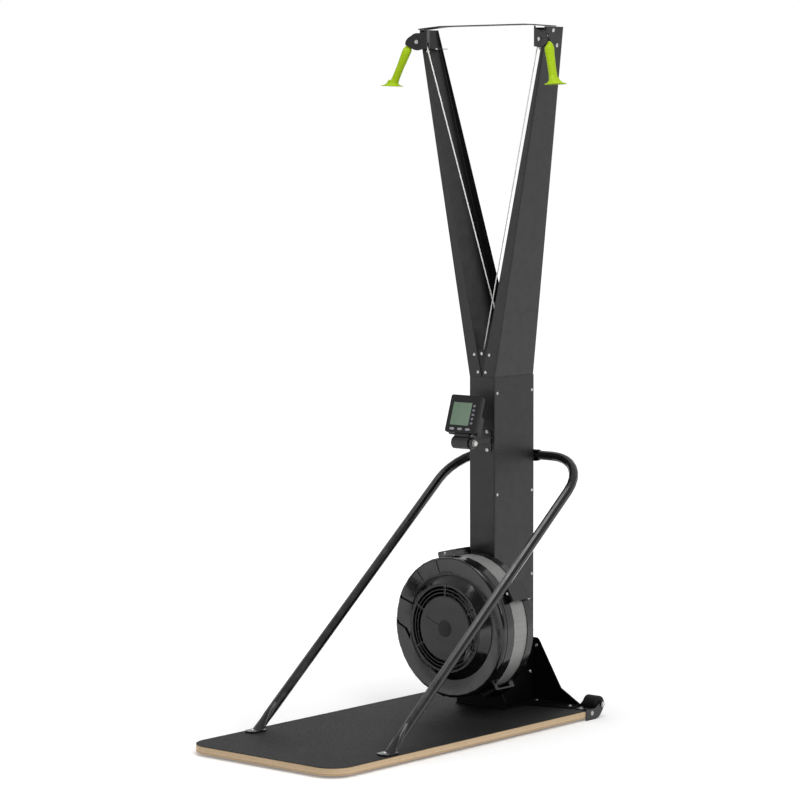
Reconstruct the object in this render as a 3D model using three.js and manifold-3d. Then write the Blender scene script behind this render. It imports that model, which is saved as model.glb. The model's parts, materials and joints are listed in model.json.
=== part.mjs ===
// A free-standing ski trainer: two arms hold cord pulleys and handles above a column,
// which stands on a wooden deck with a fan flywheel, two leg tubes, a monitor and transport wheels.
// Millimetres, +Z up. The user stands on the deck at -Y and faces the column at +Y.

import * as THREE from 'three';
import { mergeVertices } from 'three/addons/utils/BufferGeometryUtils.js';
import Module from 'manifold-3d';

const wasm = await Module();
wasm.setup();

// Fits
const clearance = 0.3;
const bond = 0.1;
const overrun = 20;
const overlap = 1;
const sameSpot = 1e-4;

// Deck
const deckWidth = 597;
const deckLength = 1219;
const boardThickness = 22;
const gripThickness = 1.5;
const frontCornerRadius = 75;
const rearCornerRadius = 12;
const footHeight = 8;
const footRadius = 22;
const footInset = 70;

// Base plate under the column, whose front stands up against it
const basePlateThickness = 4;
const basePlateHalfWidth = 100;
const basePlateBeforeColumn = 8;
const baseFrontThickness = 3;
const baseFrontEdgeHeight = 22.5;
const baseFrontHeight = 94.5;
const baseWingInset = 54.5;
const baseWingDepth = 48;
const baseWaistDepth = 96;
const baseRearInset = 2;

// Gussets: a wing across the rear and a cheek along the column's side
const gussetThickness = 4;
const gussetHeight = 202;
const gussetTopWidth = 20;
const gussetTopBevel = 8;
const gussetWaistHeight = 51.5;
const gussetWaistShare = 0.6;
const gussetToeHeight = 4;
const gussetToeInset = 2;
const gussetCheekThickness = 3;
const gussetCheekTopDepth = 30;
const gussetCheekInset = 8;
const gussetCheekFrontHeight = 28;
const gussetCheekShoulder = 118;

// Column
const columnWidth = 102;
const columnDepth = 197;
const columnTop = 1073.5;
const wall = 2;
const bendRadius = 5;
const shaftHoleRadius = 14;
const backCoverFlange = 18;
const backCoverBendRadius = 3;

// Arms: channels open towards each other, tapering from the column to the tips
const armTop = 2158;
const armTopHalfSpread = 256;
const armTopDepth = 85;
const flangeGapAtSeam = 3;
const flangeWidthAtTop = 9;
const armBendRadius = 4;

// Joint plate inside the seam, which carries the cord rollers on two pins
const jointBelowSeam = 43.5;
const jointAboveSeam = 85.5;
const jointHalfWidth = 44;
const jointTopHalfWidth = 58;
const jointThickness = 3;
const rollerPitchRadius = 12;
const rollerFlangeRadius = 15;
const rollerFlangeThickness = 1;
const rollerWidth = 8;
const rollerPinRadius = 4;
const rightRollerAboveSeam = 12.5;
const leftRollerAboveSeam = 66.5;
const leftRollerAcross = 24;

// Strap between the arm tips
const strapThickness = 3;
const strapRise = 10;
const strapFlatHalf = 169;
const strapBeforeArm = 3;
const strapWidth = 50;
const strapEndOverhang = 1;

// Pulley heads at the arm tips: a cheek before the pulley, a web beside it and a leg into the arm
const headTurn = 18;
const headSheet = 2;
const pulleyInset = 5.8;
const pulleyBeforeArm = 9.4;
const pulleyDrop = 38.6;
const pulleyPitchRadius = 24.5;
const pulleyFlangeRadius = 25.7;
const pulleyFlangeThickness = 0.5;
const pulleyWidth = 8;
const cheekBeforePulley = 12;
const cheekReach = 40;
const cheekRise = 41.3;
const webInward = 33;
const webBehindPulley = 10;
const headDrop = 22;
const webRise = 36;
const headLegBehindFront = 21;
const headLegDepth = 56;
const headLipDepth = 78;
const headLipWidth = 22;
const headLipTaper = 6;
const cordHoleRadius = 7;
const cordHoleInward = 29.2;
const cordHoleBehind = 7.6;
const axleRadius = 4;
const axleHeadRadius = 6.5;
const axleHeadHeight = 5;
const axleCollarRadius = 7;
const axleCollarLength = 2;

// Cords and their drums
const cordRadius = 2;
const rightCordAhead = 168;
const leftCordAhead = 118;
const drumPitchRadius = 30;
const drumFlangeRadius = 36;
const drumFlangeThickness = 2;
const drumWidth = 20;

// Handles
const handleLean = 21.8;
const handleForwardTilt = 5.4;
const handleStart = 16;
const handleLength = 144;
const gripHalfWidth = 14;
const gripHalfDepth = 15.4;
const handleFlangeRadius = 35;
const handleFlangeHeight = 20;
const handleFlangeLevelling = 19.5;
const handleFlangeShift = 3;

// Shaft and bearings inside the column, with places as distances ahead of the column's back
const flywheelHeight = 301.5;
const shaftRadius = 8;
const shaftRear = 78;
const shaftFront = 352;
const bearingFrontAt = 189;
const bearingRearAt = 90;
const bearingThickness = 8;
const bearingHalfHeight = 55;
const bearingCornerRadius = 6;

// Fan
const fanGap = 16;
const fanDiscAt = 232;
const fanDiscThickness = 4;
const fanHubRadius = 26;
const fanHubBack = 6;
const fanHubFront = 64;
const bladeFront = 330;
const bladeDepth = 64;
const bladeThickness = 2;
const bladeSweep = 20;
const fanRimWidth = 9;
const fanRimThickness = 3;

// Flywheel housing: radii from the shaft and distances ahead of the column's back
const housingRadius = 220;
const shellWall = 3;
const rearSeatRadius = 60;
const rearSeatSlope = 3;
const rearShellBack = 200;
const rearBulgeInset = 70;
const rearShoulderInset = 14;
const rearShoulderAt = 214;
const rearRimOver = 1;
const rearShellFront = 242;
const bandInset = 1.5;
const bandThickness = 1.5;
const bandFront = 306;
const ringGrooveAt = 340;
const ringGrooveWidth = 3;
const ringGrooveDepth = 2;
const annulusFront = 358;
const rimRound = 10;
const rimDepth = 8;
const annulusInnerRadius = 168;
const annulusSlope = 5.4;
const annulusStep = 2;
const grilleFront = 376;
const grilleRadius = 139;
const grilleLipWidth = 2;

// Lugs that clamp the housing's two halves over the band
const lugWidth = 58;
const lugHeight = 18;
const lugBarThickness = 5;
const lugBossDepth = 13;
const earDepth = 14;
const lugRound = 4;

// Mould lines and recesses of the front shell
const recessDepth = 7;
const recessWall = 2;
const mouldLineDepth = 2;

// Damper dial over the intake grille
const dialThickness = 3;
const dialRimGap = 1;
const dialCentreRadius = 99;
const dialCentreRise = 3;
const dialCentreBevel = 1.5;
const dialHubRadius = 24;
const dialGrooveWidth = 2;
const dialGrooveDepth = 1;
const pointerLength = 50;
const pointerHalfAngle = 2;
const grilleThickness = 2.5;
const grilleBoreRadius = 40;

// Leg tube, bent round behind the column and flattened at its feet
const legTubeRadius = 15;
const legBarGap = 1.7;
const legBarHeight = 814;
const legHalfSpread = 261;
const legBendRadius = 145;
const legFootAcross = 265;
const legFootAhead = 945;
const legFlareLength = 105;
const footPadLength = 60;
const footPadWidth = 44;
const footPadThickness = 5;
const footPadRadius = 16;
const footPadHeelRadius = 6;

// Clamp that holds the leg tube to the column's back
const clampSheet = 2.5;
const clampCollarOverhang = 9;
const clampFlangeInset = 8;
const clampFlangeHeight = 26;

// Wheels on the rear corners, in folded brackets
const wheelRadius = 25;
const wheelWidth = 54;
const wheelBehindDeck = 31;
const wheelHeight = 42;
const wheelInset = 4;
const wheelCrownWidth = 46;
const wheelHubStep = 6;
const wheelAxleRadius = 4;
const bracketSheet = 3;
const bracketLength = 50;
const bracketTabDepth = 45;
const bracketEarRadius = 13;
const bracketEarGap = 4;
const bracketHeelDepth = 4;
const bracketBackBottom = 2;
const axleOverhang = 3;

// Monitor
const monitorSize = 120;
const monitorTilt = 18.2;
const monitorAhead = 307.6;
const monitorHeight = 906.6;
const bezelDepth = 12;
const monitorLowRadius = 9;
const monitorTopRadius = 7;
const backShellInset = 1;
const backShellBottom = 4;
const backShellDepth = 21;
const batteryDepth = 37;
const batteryTop = 58;
const batteryBottom = -2;
const batteryBevel = 7;
const batteryInset = 2;
const screenWidth = 75;
const screenHeight = 73.5;
const screenLeft = 46;
const screenBottom = 23.5;
const screenRecess = 0.8;
const screenDepth = 3;
const sideKeyPitch = 13.8;
const sideKeyBottom = 31.7;
const sideKeyAcross = 40;
const sideKeyHalfWidth = 5.3;
const sideKeyHalfHeight = 3.8;
const lowKeyUp = 11.5;
const lowKeyPitch = 31.25;
const lowKeyShift = 1.25;
const lowKeyHalfWidth = 9.8;
const lowKeyHalfHeight = 4.3;
const keyGap = 0.5;
const keyRise = 1.2;
const keyDepth = 2.4;
const keyWellDepth = 4;

// Monitor hinge: a barrel on the monitor, clamped by a knob to an arm from the column
const hingeBehindFace = 11.1;
const hingeBelowFace = 31.6;
const hingeRadius = 20;
const hingeLeft = 29;
const hingeRight = 39;
const hingeEdgeBevel = 3;
const neckLeft = 26;
const neckRight = 30;
const neckFront = 10;
const neckBack = 22;
const neckAbove = 6;
const neckBelow = 20;
const hingeBoltRadius = 5;
const hingeBoltInside = 12;
const hingeBoltOutside = 17;
const knobRadius = 17.5;
const knobThickness = 10;
const knobRecessRadius = 11;
const knobRecessDepth = 2.5;
const scallopDepth = 1.6;
const bracketPlateHalfWidth = 40;
const bracketPlateBelow = 36;
const bracketPlateAbove = 33;
const bracketPlateThickness = 3;
const bracketPlateRadius = 8;
const bracketArmThickness = 1.8;
const bracketArmHalfHeight = 11;
const bracketArmFlange = 4;

// Sizes that follow from the ones above
const deckThickness = boardThickness + gripThickness;
const deckTop = footHeight + deckThickness;
const basePlateTop = deckTop + clearance + basePlateThickness;
const baseWingHalfWidth = deckWidth / 2 - baseWingInset;
const overallLength = deckLength + wheelBehindDeck + wheelRadius;
const deckFrontY = -overallLength / 2;
const deckBackY = deckFrontY + deckLength;
const armBottom = columnTop + clearance;
const pulleyAcross = armTopHalfSpread - pulleyInset;
const pulleyAhead = columnDepth + pulleyBeforeArm;
const pulleyHeight = armTop - pulleyDrop;
const hingeAhead = monitorAhead - hingeBehindFace;
const hingeHeight = monitorHeight - hingeBelowFace;
const rearBulgeRadius = housingRadius - rearBulgeInset;
const rearShoulderRadius = housingRadius - rearShoulderInset;
const fanRadius = housingRadius - fanGap;
const legBarAhead = -legTubeRadius - legBarGap;

// The Y of a plane that lies a distance ahead of the column's back, which is flush with the deck's rear edge
const ahead = (distance) => deckBackY - distance;
const radians = THREE.MathUtils.degToRad;
const degrees = THREE.MathUtils.radToDeg;
const finish = (color, roughness, metalness) =>
  new THREE.MeshStandardMaterial({ color, roughness, metalness });

const materials = {
  powderCoat: () => finish(0x323233, 0.55, 0.3),
  blackSteel: () => finish(0x161617, 0.5, 0.4),
  plywood: () => finish(0xd7b487, 0.6, 0),
  grip: () => finish(0x2e2e2e, 0.95, 0),
  glossShell: () => finish(0x1a1a1b, 0.3, 0),
  paleSheet: () => finish(0x8c8c8a, 0.5, 0.7),
  bareSteel: () => finish(0xb8b8b6, 0.35, 0.9),
  mattePlastic: () => finish(0x1e1e1f, 0.6, 0),
  handle: () => finish(0xa9c92c, 0.5, 0),
  cord: () => finish(0xd9d9d6, 0.8, 0),
  rubber: () => finish(0x151515, 0.85, 0),
  display: () => finish(0x6b8a72, 0.35, 0),
  key: () => finish(0x9a9aa2, 0.6, 0),
};

// Solids
function toSolid(geometry) {
  const bare = geometry.clone();
  bare.deleteAttribute('normal');
  bare.deleteAttribute('uv');
  const welded = mergeVertices(bare, sameSpot);
  const index = welded.index.array;
  const triangles = [];
  for (let i = 0; i < index.length; i += 3) {
    const [a, b, c] = [index[i], index[i + 1], index[i + 2]];
    if (a !== b && b !== c && c !== a) triangles.push(a, b, c);
  }
  const vertProperties = new Float32Array(welded.attributes.position.array);
  const triVerts = new Uint32Array(triangles);
  return new wasm.Manifold(new wasm.Mesh({ numProp: 3, vertProperties, triVerts }));
}

function toGeometry(solid) {
  const { vertProperties, triVerts } = solid.getMesh();
  const geometry = new THREE.BufferGeometry();
  geometry.setAttribute('position', new THREE.BufferAttribute(vertProperties, 3));
  geometry.setIndex(new THREE.BufferAttribute(triVerts, 1));
  geometry.computeVertexNormals();
  return geometry;
}

function join(...geometries) {
  return toGeometry(geometries.map(toSolid).reduce((sum, next) => sum.add(next)));
}

function cut(body, ...tools) {
  return toGeometry(tools.map(toSolid).reduce((left, tool) => left.subtract(tool), toSolid(body)));
}

function common(a, b) {
  return toGeometry(toSolid(a).intersect(toSolid(b)));
}

function mirrored(geometry) {
  const copy = geometry.clone().scale(-1, 1, 1);
  const index = copy.index.array;
  for (let i = 0; i < index.length; i += 3) {
    [index[i], index[i + 1]] = [index[i + 1], index[i]];
  }
  return copy;
}

function box(x0, x1, y0, y1, z0, z1) {
  return new THREE.BoxGeometry(x1 - x0, y1 - y0, z1 - z0)
    .translate((x0 + x1) / 2, (y0 + y1) / 2, (z0 + z1) / 2);
}

function outline(points) {
  return new THREE.Shape(points.map(([a, b]) => new THREE.Vector2(a, b)));
}

// How many sides stand for a full circle, by its use
const housingSides = 36;
const wheelSides = 20;
const drumSides = 14;
const pinSides = 8;
const keySides = 12;

// Points on part of an ellipse, angles in degrees
function arcPoints(x, y, rx, ry, from, to, steps) {
  return Array.from({ length: steps + 1 }, (_, k) => {
    const angle = radians(THREE.MathUtils.lerp(from, to, k / steps));
    return [x + rx * Math.cos(angle), y + ry * Math.sin(angle)];
  });
}

function circle(radius, sides) {
  return arcPoints(0, 0, radius, radius, 0, 360, sides).slice(0, sides);
}

function plain(shape, depth, curveSegments = 8) {
  return new THREE.ExtrudeGeometry(shape, { depth, bevelEnabled: false, curveSegments });
}

// Outline in X and Y, from z0 up to z1
function slab(shape, z0, z1, curveSegments) {
  return plain(shape, z1 - z0, curveSegments).translate(0, 0, z0);
}

// Outline in X and Z, from the front plane y0 back to y1
function panel(shape, y0, y1, curveSegments) {
  return plain(shape, y1 - y0, curveSegments).rotateX(Math.PI / 2).translate(0, y1, 0);
}

// Outline in Y and Z, from x0 to x1
function rib(shape, x0, x1, curveSegments) {
  const turn = new THREE.Matrix4().makeBasis(
    new THREE.Vector3(0, 1, 0),
    new THREE.Vector3(0, 0, 1),
    new THREE.Vector3(1, 0, 0),
  );
  return plain(shape, x1 - x0, curveSegments).applyMatrix4(turn).translate(x0, 0, 0);
}

// A revolved profile of [radius, height] pairs about Z
function turned(profile, segments) {
  const points = profile.map(([r, h]) => new THREE.Vector2(r, h));
  if (THREE.ShapeUtils.area(points) < 0) points.reverse();
  const closed = points[0].x > 0 || points[points.length - 1].x > 0;
  if (closed) points.push(points[0].clone());
  return new THREE.LatheGeometry(points, segments).rotateX(Math.PI / 2);
}

// The same about an axis along Y, with heights as distances ahead of the column's back
function turnedAhead(profile, segments) {
  return turned(profile, segments).rotateX(Math.PI / 2).translate(0, ahead(0), 0);
}

function turnedAlongX(profile, segments) {
  return turned(profile, segments).rotateY(Math.PI / 2);
}

function disc(radius, z0, z1, segments = wheelSides) {
  return turned([[0, z0], [radius, z0], [radius, z1], [0, z1]], segments);
}

// A round pin along Y, between two distances ahead of the column's back
function pinAhead(x, z, radius, from, to, segments = drumSides) {
  return turnedAhead([[0, from], [radius, from], [radius, to], [0, to]], segments).translate(x, 0, z);
}

function pinAlongX(radius, x0, x1, y, z, segments = keySides) {
  return disc(radius, x0, x1, segments).rotateY(Math.PI / 2).translate(0, y, z);
}

// A body whose section changes evenly from the low outline to the high one
function lofted(low, high, z0, z1) {
  const geometry = plain(outline(low), 1);
  const position = geometry.attributes.position;
  for (let i = 0; i < position.count; i += 1) {
    const here = [position.getX(i), position.getY(i)];
    const at = low.findIndex(([x, y]) => Math.hypot(x - here[0], y - here[1]) < sameSpot);
    const onTop = position.getZ(i) > 0.5;
    const [x, y] = (onTop ? high : low)[at];
    position.setXYZ(i, x, y, onTop ? z1 : z0);
  }
  return geometry;
}

// A path through chosen points, with one ring of the swept section at each
class Route extends THREE.Curve {
  constructor(points) {
    super();
    this.points = points;
  }

  getPoint(t, target = new THREE.Vector3()) {
    const place = t * (this.points.length - 1);
    const i = Math.min(Math.floor(place), this.points.length - 2);
    return target.lerpVectors(this.points[i], this.points[i + 1], place - i);
  }

  getPointAt(u, target) {
    return this.getPoint(u, target);
  }

  getTangentAt(u, target = new THREE.Vector3()) {
    const i = Math.round(u * (this.points.length - 1));
    const before = this.points[Math.max(i - 1, 0)];
    const here = this.points[i];
    const after = this.points[Math.min(i + 1, this.points.length - 1)];
    const arriving = here.clone().sub(before).normalize();
    const leaving = after.clone().sub(here).normalize();
    return target.copy(arriving).add(leaving).normalize();
  }
}

function tube(points, radius, sides) {
  return new THREE.ExtrudeGeometry(outline(circle(radius, sides)), {
    steps: points.length - 1,
    extrudePath: new Route(points),
  });
}

// Stretches each ring of a tube across its width and through its thickness
function reshaped(geometry, centres, across, scaleAt) {
  const position = geometry.attributes.position;
  const point = new THREE.Vector3();
  for (let i = 0; i < position.count; i += 1) {
    point.fromBufferAttribute(position, i);
    const nearest = centres.reduce((best, centre, k) =>
      (centre.distanceTo(point) < centres[best].distanceTo(point) ? k : best), 0);
    const [wide, thick] = scaleAt(nearest);
    const offset = point.clone().sub(centres[nearest]);
    const sideways = across.clone().multiplyScalar(offset.dot(across));
    const other = offset.sub(sideways);
    point.copy(centres[nearest]).addScaledVector(sideways, wide).addScaledVector(other, thick);
    position.setXYZ(i, point.x, point.y, point.z);
  }
  return geometry;
}

function roundedRectangle(x0, x1, y0, y1, radii) {
  const [lowLeft, lowRight, highRight, highLeft] = radii;
  const shape = new THREE.Shape();
  shape.moveTo(x0 + lowLeft, y0);
  shape.lineTo(x1 - lowRight, y0);
  shape.absarc(x1 - lowRight, y0 + lowRight, lowRight, -Math.PI / 2, 0);
  shape.lineTo(x1, y1 - highRight);
  shape.absarc(x1 - highRight, y1 - highRight, highRight, 0, Math.PI / 2);
  shape.lineTo(x0 + highLeft, y1);
  shape.absarc(x0 + highLeft, y1 - highLeft, highLeft, Math.PI / 2, Math.PI);
  shape.lineTo(x0, y0 + lowLeft);
  shape.absarc(x0 + lowLeft, y0 + lowLeft, lowLeft, Math.PI, 1.5 * Math.PI);
  return shape;
}

const object = new THREE.Group();

function place(name, geometry, material) {
  const mesh = new THREE.Mesh(geometry, material);
  mesh.name = name;
  object.add(mesh);
}

function placePair(name, geometry, material) {
  place(`${name}_right`, geometry, material());
  place(`${name}_left`, mirrored(geometry), material());
}

// Deck
function deckOutline() {
  const corner = (side, y, radius, from, steps) =>
    arcPoints(side * (deckWidth / 2 - radius), y, radius, radius, from, from + 90, steps);
  return outline([
    ...corner(1, deckFrontY + frontCornerRadius, frontCornerRadius, -90, 8),
    ...corner(1, deckBackY - rearCornerRadius, rearCornerRadius, 0, 3),
    ...corner(-1, deckBackY - rearCornerRadius, rearCornerRadius, 90, 3),
    ...corner(-1, deckFrontY + frontCornerRadius, frontCornerRadius, 180, 8),
  ]);
}

function addDeck() {
  const boardTop = footHeight + boardThickness;
  place('deck_board', join(slab(deckOutline(), footHeight, boardTop)), materials.plywood());
  place('deck_grip', join(slab(deckOutline(), boardTop + bond, deckTop)), materials.grip());
  const footX = deckWidth / 2 - footInset;
  const footY = deckFrontY + footInset;
  const foot = disc(footRadius, 0, footHeight - bond).translate(footX, footY, 0);
  placePair('deck_foot', join(foot), materials.rubber);
}

// Base
function basePlate() {
  const half = basePlateHalfWidth;
  const wing = baseWingHalfWidth;
  const front = ahead(columnDepth + basePlateBeforeColumn);
  const waist = ahead(baseWaistDepth);
  const wingFront = ahead(baseWingDepth);
  const rear = ahead(baseRearInset);
  return slab(outline([
    [-half, front],
    [half, front],
    [half, waist],
    [wing, wingFront],
    [wing, rear],
    [-wing, rear],
    [-wing, wingFront],
    [-half, waist],
  ]), deckTop + clearance, basePlateTop);
}

function baseFront() {
  const half = basePlateHalfWidth;
  const top = columnWidth / 2 + gussetCheekThickness;
  const low = deckTop + clearance;
  const seat = columnDepth + clearance;
  return panel(outline([
    [-half, low],
    [half, low],
    [half, deckTop + baseFrontEdgeHeight],
    [top, deckTop + baseFrontHeight],
    [-top, deckTop + baseFrontHeight],
    [-half, deckTop + baseFrontEdgeHeight],
  ]), ahead(seat + baseFrontThickness), ahead(seat));
}

function addBase() {
  place('base_plate', join(basePlate(), baseFront()), materials.blackSteel());
}

function addGussets() {
  const inner = columnWidth / 2 + clearance;
  const bottom = basePlateTop + clearance;
  const top = deckTop + gussetHeight;
  const shoulder = inner + gussetTopWidth;
  const toe = baseWingHalfWidth - gussetToeInset;
  const wing = panel(outline([
    [inner, bottom],
    [toe, bottom],
    [toe, bottom + gussetToeHeight],
    [THREE.MathUtils.lerp(inner, toe, gussetWaistShare), deckTop + gussetWaistHeight],
    [shoulder + gussetTopBevel, top - gussetTopBevel],
    [shoulder, top],
    [inner, top],
  ]), ahead(baseRearInset + gussetThickness), ahead(baseRearInset));
  const rear = ahead(baseRearInset + gussetThickness / 2);
  const front = ahead(columnDepth - gussetCheekInset);
  const cheek = rib(outline([
    [rear, bottom],
    [front, bottom],
    [front, bottom + gussetCheekFrontHeight],
    [ahead(gussetCheekTopDepth), deckTop + gussetCheekShoulder],
    [ahead(gussetCheekTopDepth), top],
    [rear, top],
  ]), inner, inner + gussetCheekThickness);
  placePair('base_gusset', join(wing, cheek), materials.blackSteel);
}

// Column
function channel(half, front, back, radius, thickness) {
  const inside = radius - thickness;
  const corner = (x, y, r, from) => arcPoints(x, y, r, r, from, from + 90, 2);
  return [
    [half, back],
    [half - thickness, back],
    ...corner(half - radius, front + radius, inside, -90).reverse(),
    ...corner(-half + radius, front + radius, inside, -180).reverse(),
    [-half + thickness, back],
    [-half, back],
    ...corner(-half + radius, front + radius, radius, -180),
    ...corner(half - radius, front + radius, radius, -90),
  ];
}

function addColumn() {
  const bottom = basePlateTop + clearance;
  const section = channel(columnWidth / 2, ahead(columnDepth), ahead(0), bendRadius, wall);
  const shell = slab(outline(section), bottom, columnTop);
  const from = columnDepth - overrun;
  const shaftHole = pinAhead(0, flywheelHeight, shaftHoleRadius, from, columnDepth + overrun);
  place('column_shell', cut(shell, shaftHole), materials.powderCoat());

  const half = columnWidth / 2 - wall - clearance;
  const mouth = channel(half, 0, backCoverFlange, backCoverBendRadius, wall)
    .map(([x, y]) => [x, ahead(clearance) - y])
    .reverse();
  const cover = slab(outline(mouth), bottom, columnTop - clearance);
  place('column_back', join(cover), materials.powderCoat());
}

// Arms
function armSection(outer, inner, front, back) {
  const r = armBendRadius;
  const s = r - wall;
  return [
    [inner, front],
    ...arcPoints(outer - r, front + r, r, r, -90, 0, 2),
    ...arcPoints(outer - r, back - r, r, r, 0, 90, 2),
    [inner, back],
    [inner, back - wall],
    ...arcPoints(outer - r, back - r, s, s, 90, 0, 2),
    ...arcPoints(outer - r, front + r, s, s, 0, -90, 2),
    [inner, front + wall],
  ];
}

function armOuterAt(z) {
  return THREE.MathUtils.mapLinear(z, armBottom, armTop, columnWidth / 2, armTopHalfSpread);
}

function addArms() {
  const front = ahead(columnDepth);
  const low = armSection(columnWidth / 2, flangeGapAtSeam / 2, front, ahead(0));
  const highInner = armTopHalfSpread - flangeWidthAtTop;
  const high = armSection(armTopHalfSpread, highInner, front, front + armTopDepth);
  placePair('arm', join(lofted(low, high, armBottom, armTop)), materials.powderCoat);
}

// Joint plate and rollers
const rightRoller = {
  x: rollerPitchRadius - drumPitchRadius,
  z: columnTop + rightRollerAboveSeam,
  ahead: rightCordAhead,
};
const leftRoller = {
  x: leftRollerAcross,
  z: columnTop + leftRollerAboveSeam,
  ahead: leftCordAhead,
};

function jointOutline() {
  const low = columnTop - jointBelowSeam;
  const high = columnTop + jointAboveSeam;
  return outline([
    [-jointHalfWidth, low],
    [jointHalfWidth, low],
    [jointHalfWidth, columnTop],
    [jointTopHalfWidth, high],
    [-jointTopHalfWidth, high],
    [-jointHalfWidth, columnTop],
  ]);
}

function addJointPlate() {
  const front = columnDepth - wall - clearance;
  const back = front - jointThickness;
  const pins = [rightRoller, leftRoller].map((roller) =>
    pinAhead(roller.x, roller.z, rollerPinRadius, roller.ahead - rollerWidth, back + overlap));
  const plate = panel(jointOutline(), ahead(front), ahead(back));
  place('joint_plate_front', join(plate, ...pins), materials.blackSteel());
}

// A grooved wheel for a cord: [radius, height] pairs between its two faces
function grooved(bore, groove, flange, flangeThickness, width) {
  const half = width / 2;
  const inner = half - flangeThickness;
  return [
    [bore, -half],
    [flange, -half],
    [flange, -inner],
    [groove, -cordRadius - clearance],
    [groove, cordRadius + clearance],
    [flange, inner],
    [flange, half],
    [bore, half],
  ];
}

function addRoller(name, roller) {
  const bore = rollerPinRadius + clearance;
  const groove = rollerPitchRadius - cordRadius - clearance;
  const profile = grooved(bore, groove, rollerFlangeRadius, rollerFlangeThickness, rollerWidth)
    .map(([r, h]) => [r, h + roller.ahead]);
  const wheel = turnedAhead(profile, keySides).translate(roller.x, 0, roller.z);
  place(name, join(wheel), materials.mattePlastic());
}

// Strap
function addStrap() {
  const end = armTopHalfSpread + strapEndOverhang;
  const middleTop = armTop + strapRise;
  const middleLow = middleTop - strapThickness;
  const endLow = armTop + clearance;
  const endTop = endLow + strapThickness;
  const shape = outline([
    [-end, endLow],
    [-strapFlatHalf, middleLow],
    [strapFlatHalf, middleLow],
    [end, endLow],
    [end, endTop],
    [strapFlatHalf, middleTop],
    [-strapFlatHalf, middleTop],
    [-end, endTop],
  ]);
  const front = columnDepth + strapBeforeArm;
  place('top_strap', join(panel(shape, ahead(front), ahead(front - strapWidth))), materials.blackSteel());
}

// Pulley heads. Their frame has its origin at the pulley's centre, X outwards and -Y to the front
const headMatrix = new THREE.Matrix4()
  .makeRotationZ(-radians(headTurn))
  .setPosition(pulleyAcross, ahead(pulleyAhead), pulleyHeight);

// The cheek's outline as shares of its reach and of its rise, from the pulley's centre
const cheekShares = {
  low: [-0.4, -0.57],
  bellyPull: [0.05, -0.75],
  belly: [0.44, -0.5],
  nose: [1, -0.21],
  brow: [1.05, 0.19],
  shoulder: [0.56, 0.44],
  saddlePull: [0.2, 0.63],
  saddle: [-0.24, 0.68],
  horn: [-0.64, 0.785],
  tip: [-0.76, 1],
};

function cheek() {
  const at = Object.fromEntries(Object.entries(cheekShares).map(([name, [x, z]]) =>
    [name, [x * cheekReach, z * cheekRise]]));
  const edge = -webInward - headSheet / 2;
  const shape = new THREE.Shape();
  shape.moveTo(edge, -headDrop);
  shape.lineTo(...at.low);
  shape.quadraticCurveTo(...at.bellyPull, ...at.belly);
  shape.lineTo(...at.nose);
  shape.quadraticCurveTo(...at.brow, ...at.shoulder);
  shape.quadraticCurveTo(...at.saddlePull, ...at.saddle);
  shape.lineTo(...at.horn);
  shape.lineTo(...at.tip);
  shape.lineTo(edge, cheekRise);
  return panel(shape, -cheekBeforePulley, -cheekBeforePulley + headSheet, 6);
}

function web() {
  const front = -cheekBeforePulley;
  const notch = front / 2;
  return rib(outline([
    [front, -headDrop],
    [webBehindPulley, -headDrop],
    [webBehindPulley, webRise],
    [notch, webRise],
    [notch - headSheet / 2, cheekRise],
    [front, cheekRise],
  ]), -webInward - headSheet / 2, -webInward + headSheet / 2);
}

const headBottom = pulleyHeight - headDrop;
const headLegFront = columnDepth - headLegBehindFront;
const headLegBack = headLegFront - headLegDepth;

function headLeg() {
  const top = pulleyHeight + webRise;
  const webEnd = new THREE.Vector3(-webInward, webBehindPulley - overlap, 0).applyMatrix4(headMatrix);
  const section = (z) => {
    const outer = armOuterAt(z) - wall - clearance;
    return [
      [webEnd.x, webEnd.y - headSheet / 2],
      [outer, ahead(headLegFront)],
      [outer, ahead(headLegBack)],
      [outer - headSheet, ahead(headLegBack)],
      [outer - headSheet, ahead(headLegFront - headSheet / 2)],
      [webEnd.x, webEnd.y + headSheet / 2],
    ];
  };
  return lofted(section(headBottom), section(top), headBottom, top);
}

function headLip() {
  const outer = armOuterAt(headBottom) - wall - clearance - headSheet / 2;
  const inner = outer - headLipWidth + headSheet / 2;
  return slab(outline([
    [inner, ahead(headLegFront + headSheet * 2)],
    [outer, ahead(headLegFront - headSheet / 2)],
    [outer, ahead(headLegBack)],
    [inner + headLipTaper, ahead(headLegBack - headLipTaper)],
    [inner + headLipTaper, ahead(headLegFront - headLipDepth)],
    [inner, ahead(headLegFront - headLipDepth)],
  ]), headBottom, headBottom + headSheet);
}

// A round pin in the pulley head, from y0 to y1 in its frame
function pinInHead(radius, y0, y1) {
  return disc(radius, -y1, -y0, pinSides).rotateX(Math.PI / 2).applyMatrix4(headMatrix);
}

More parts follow.
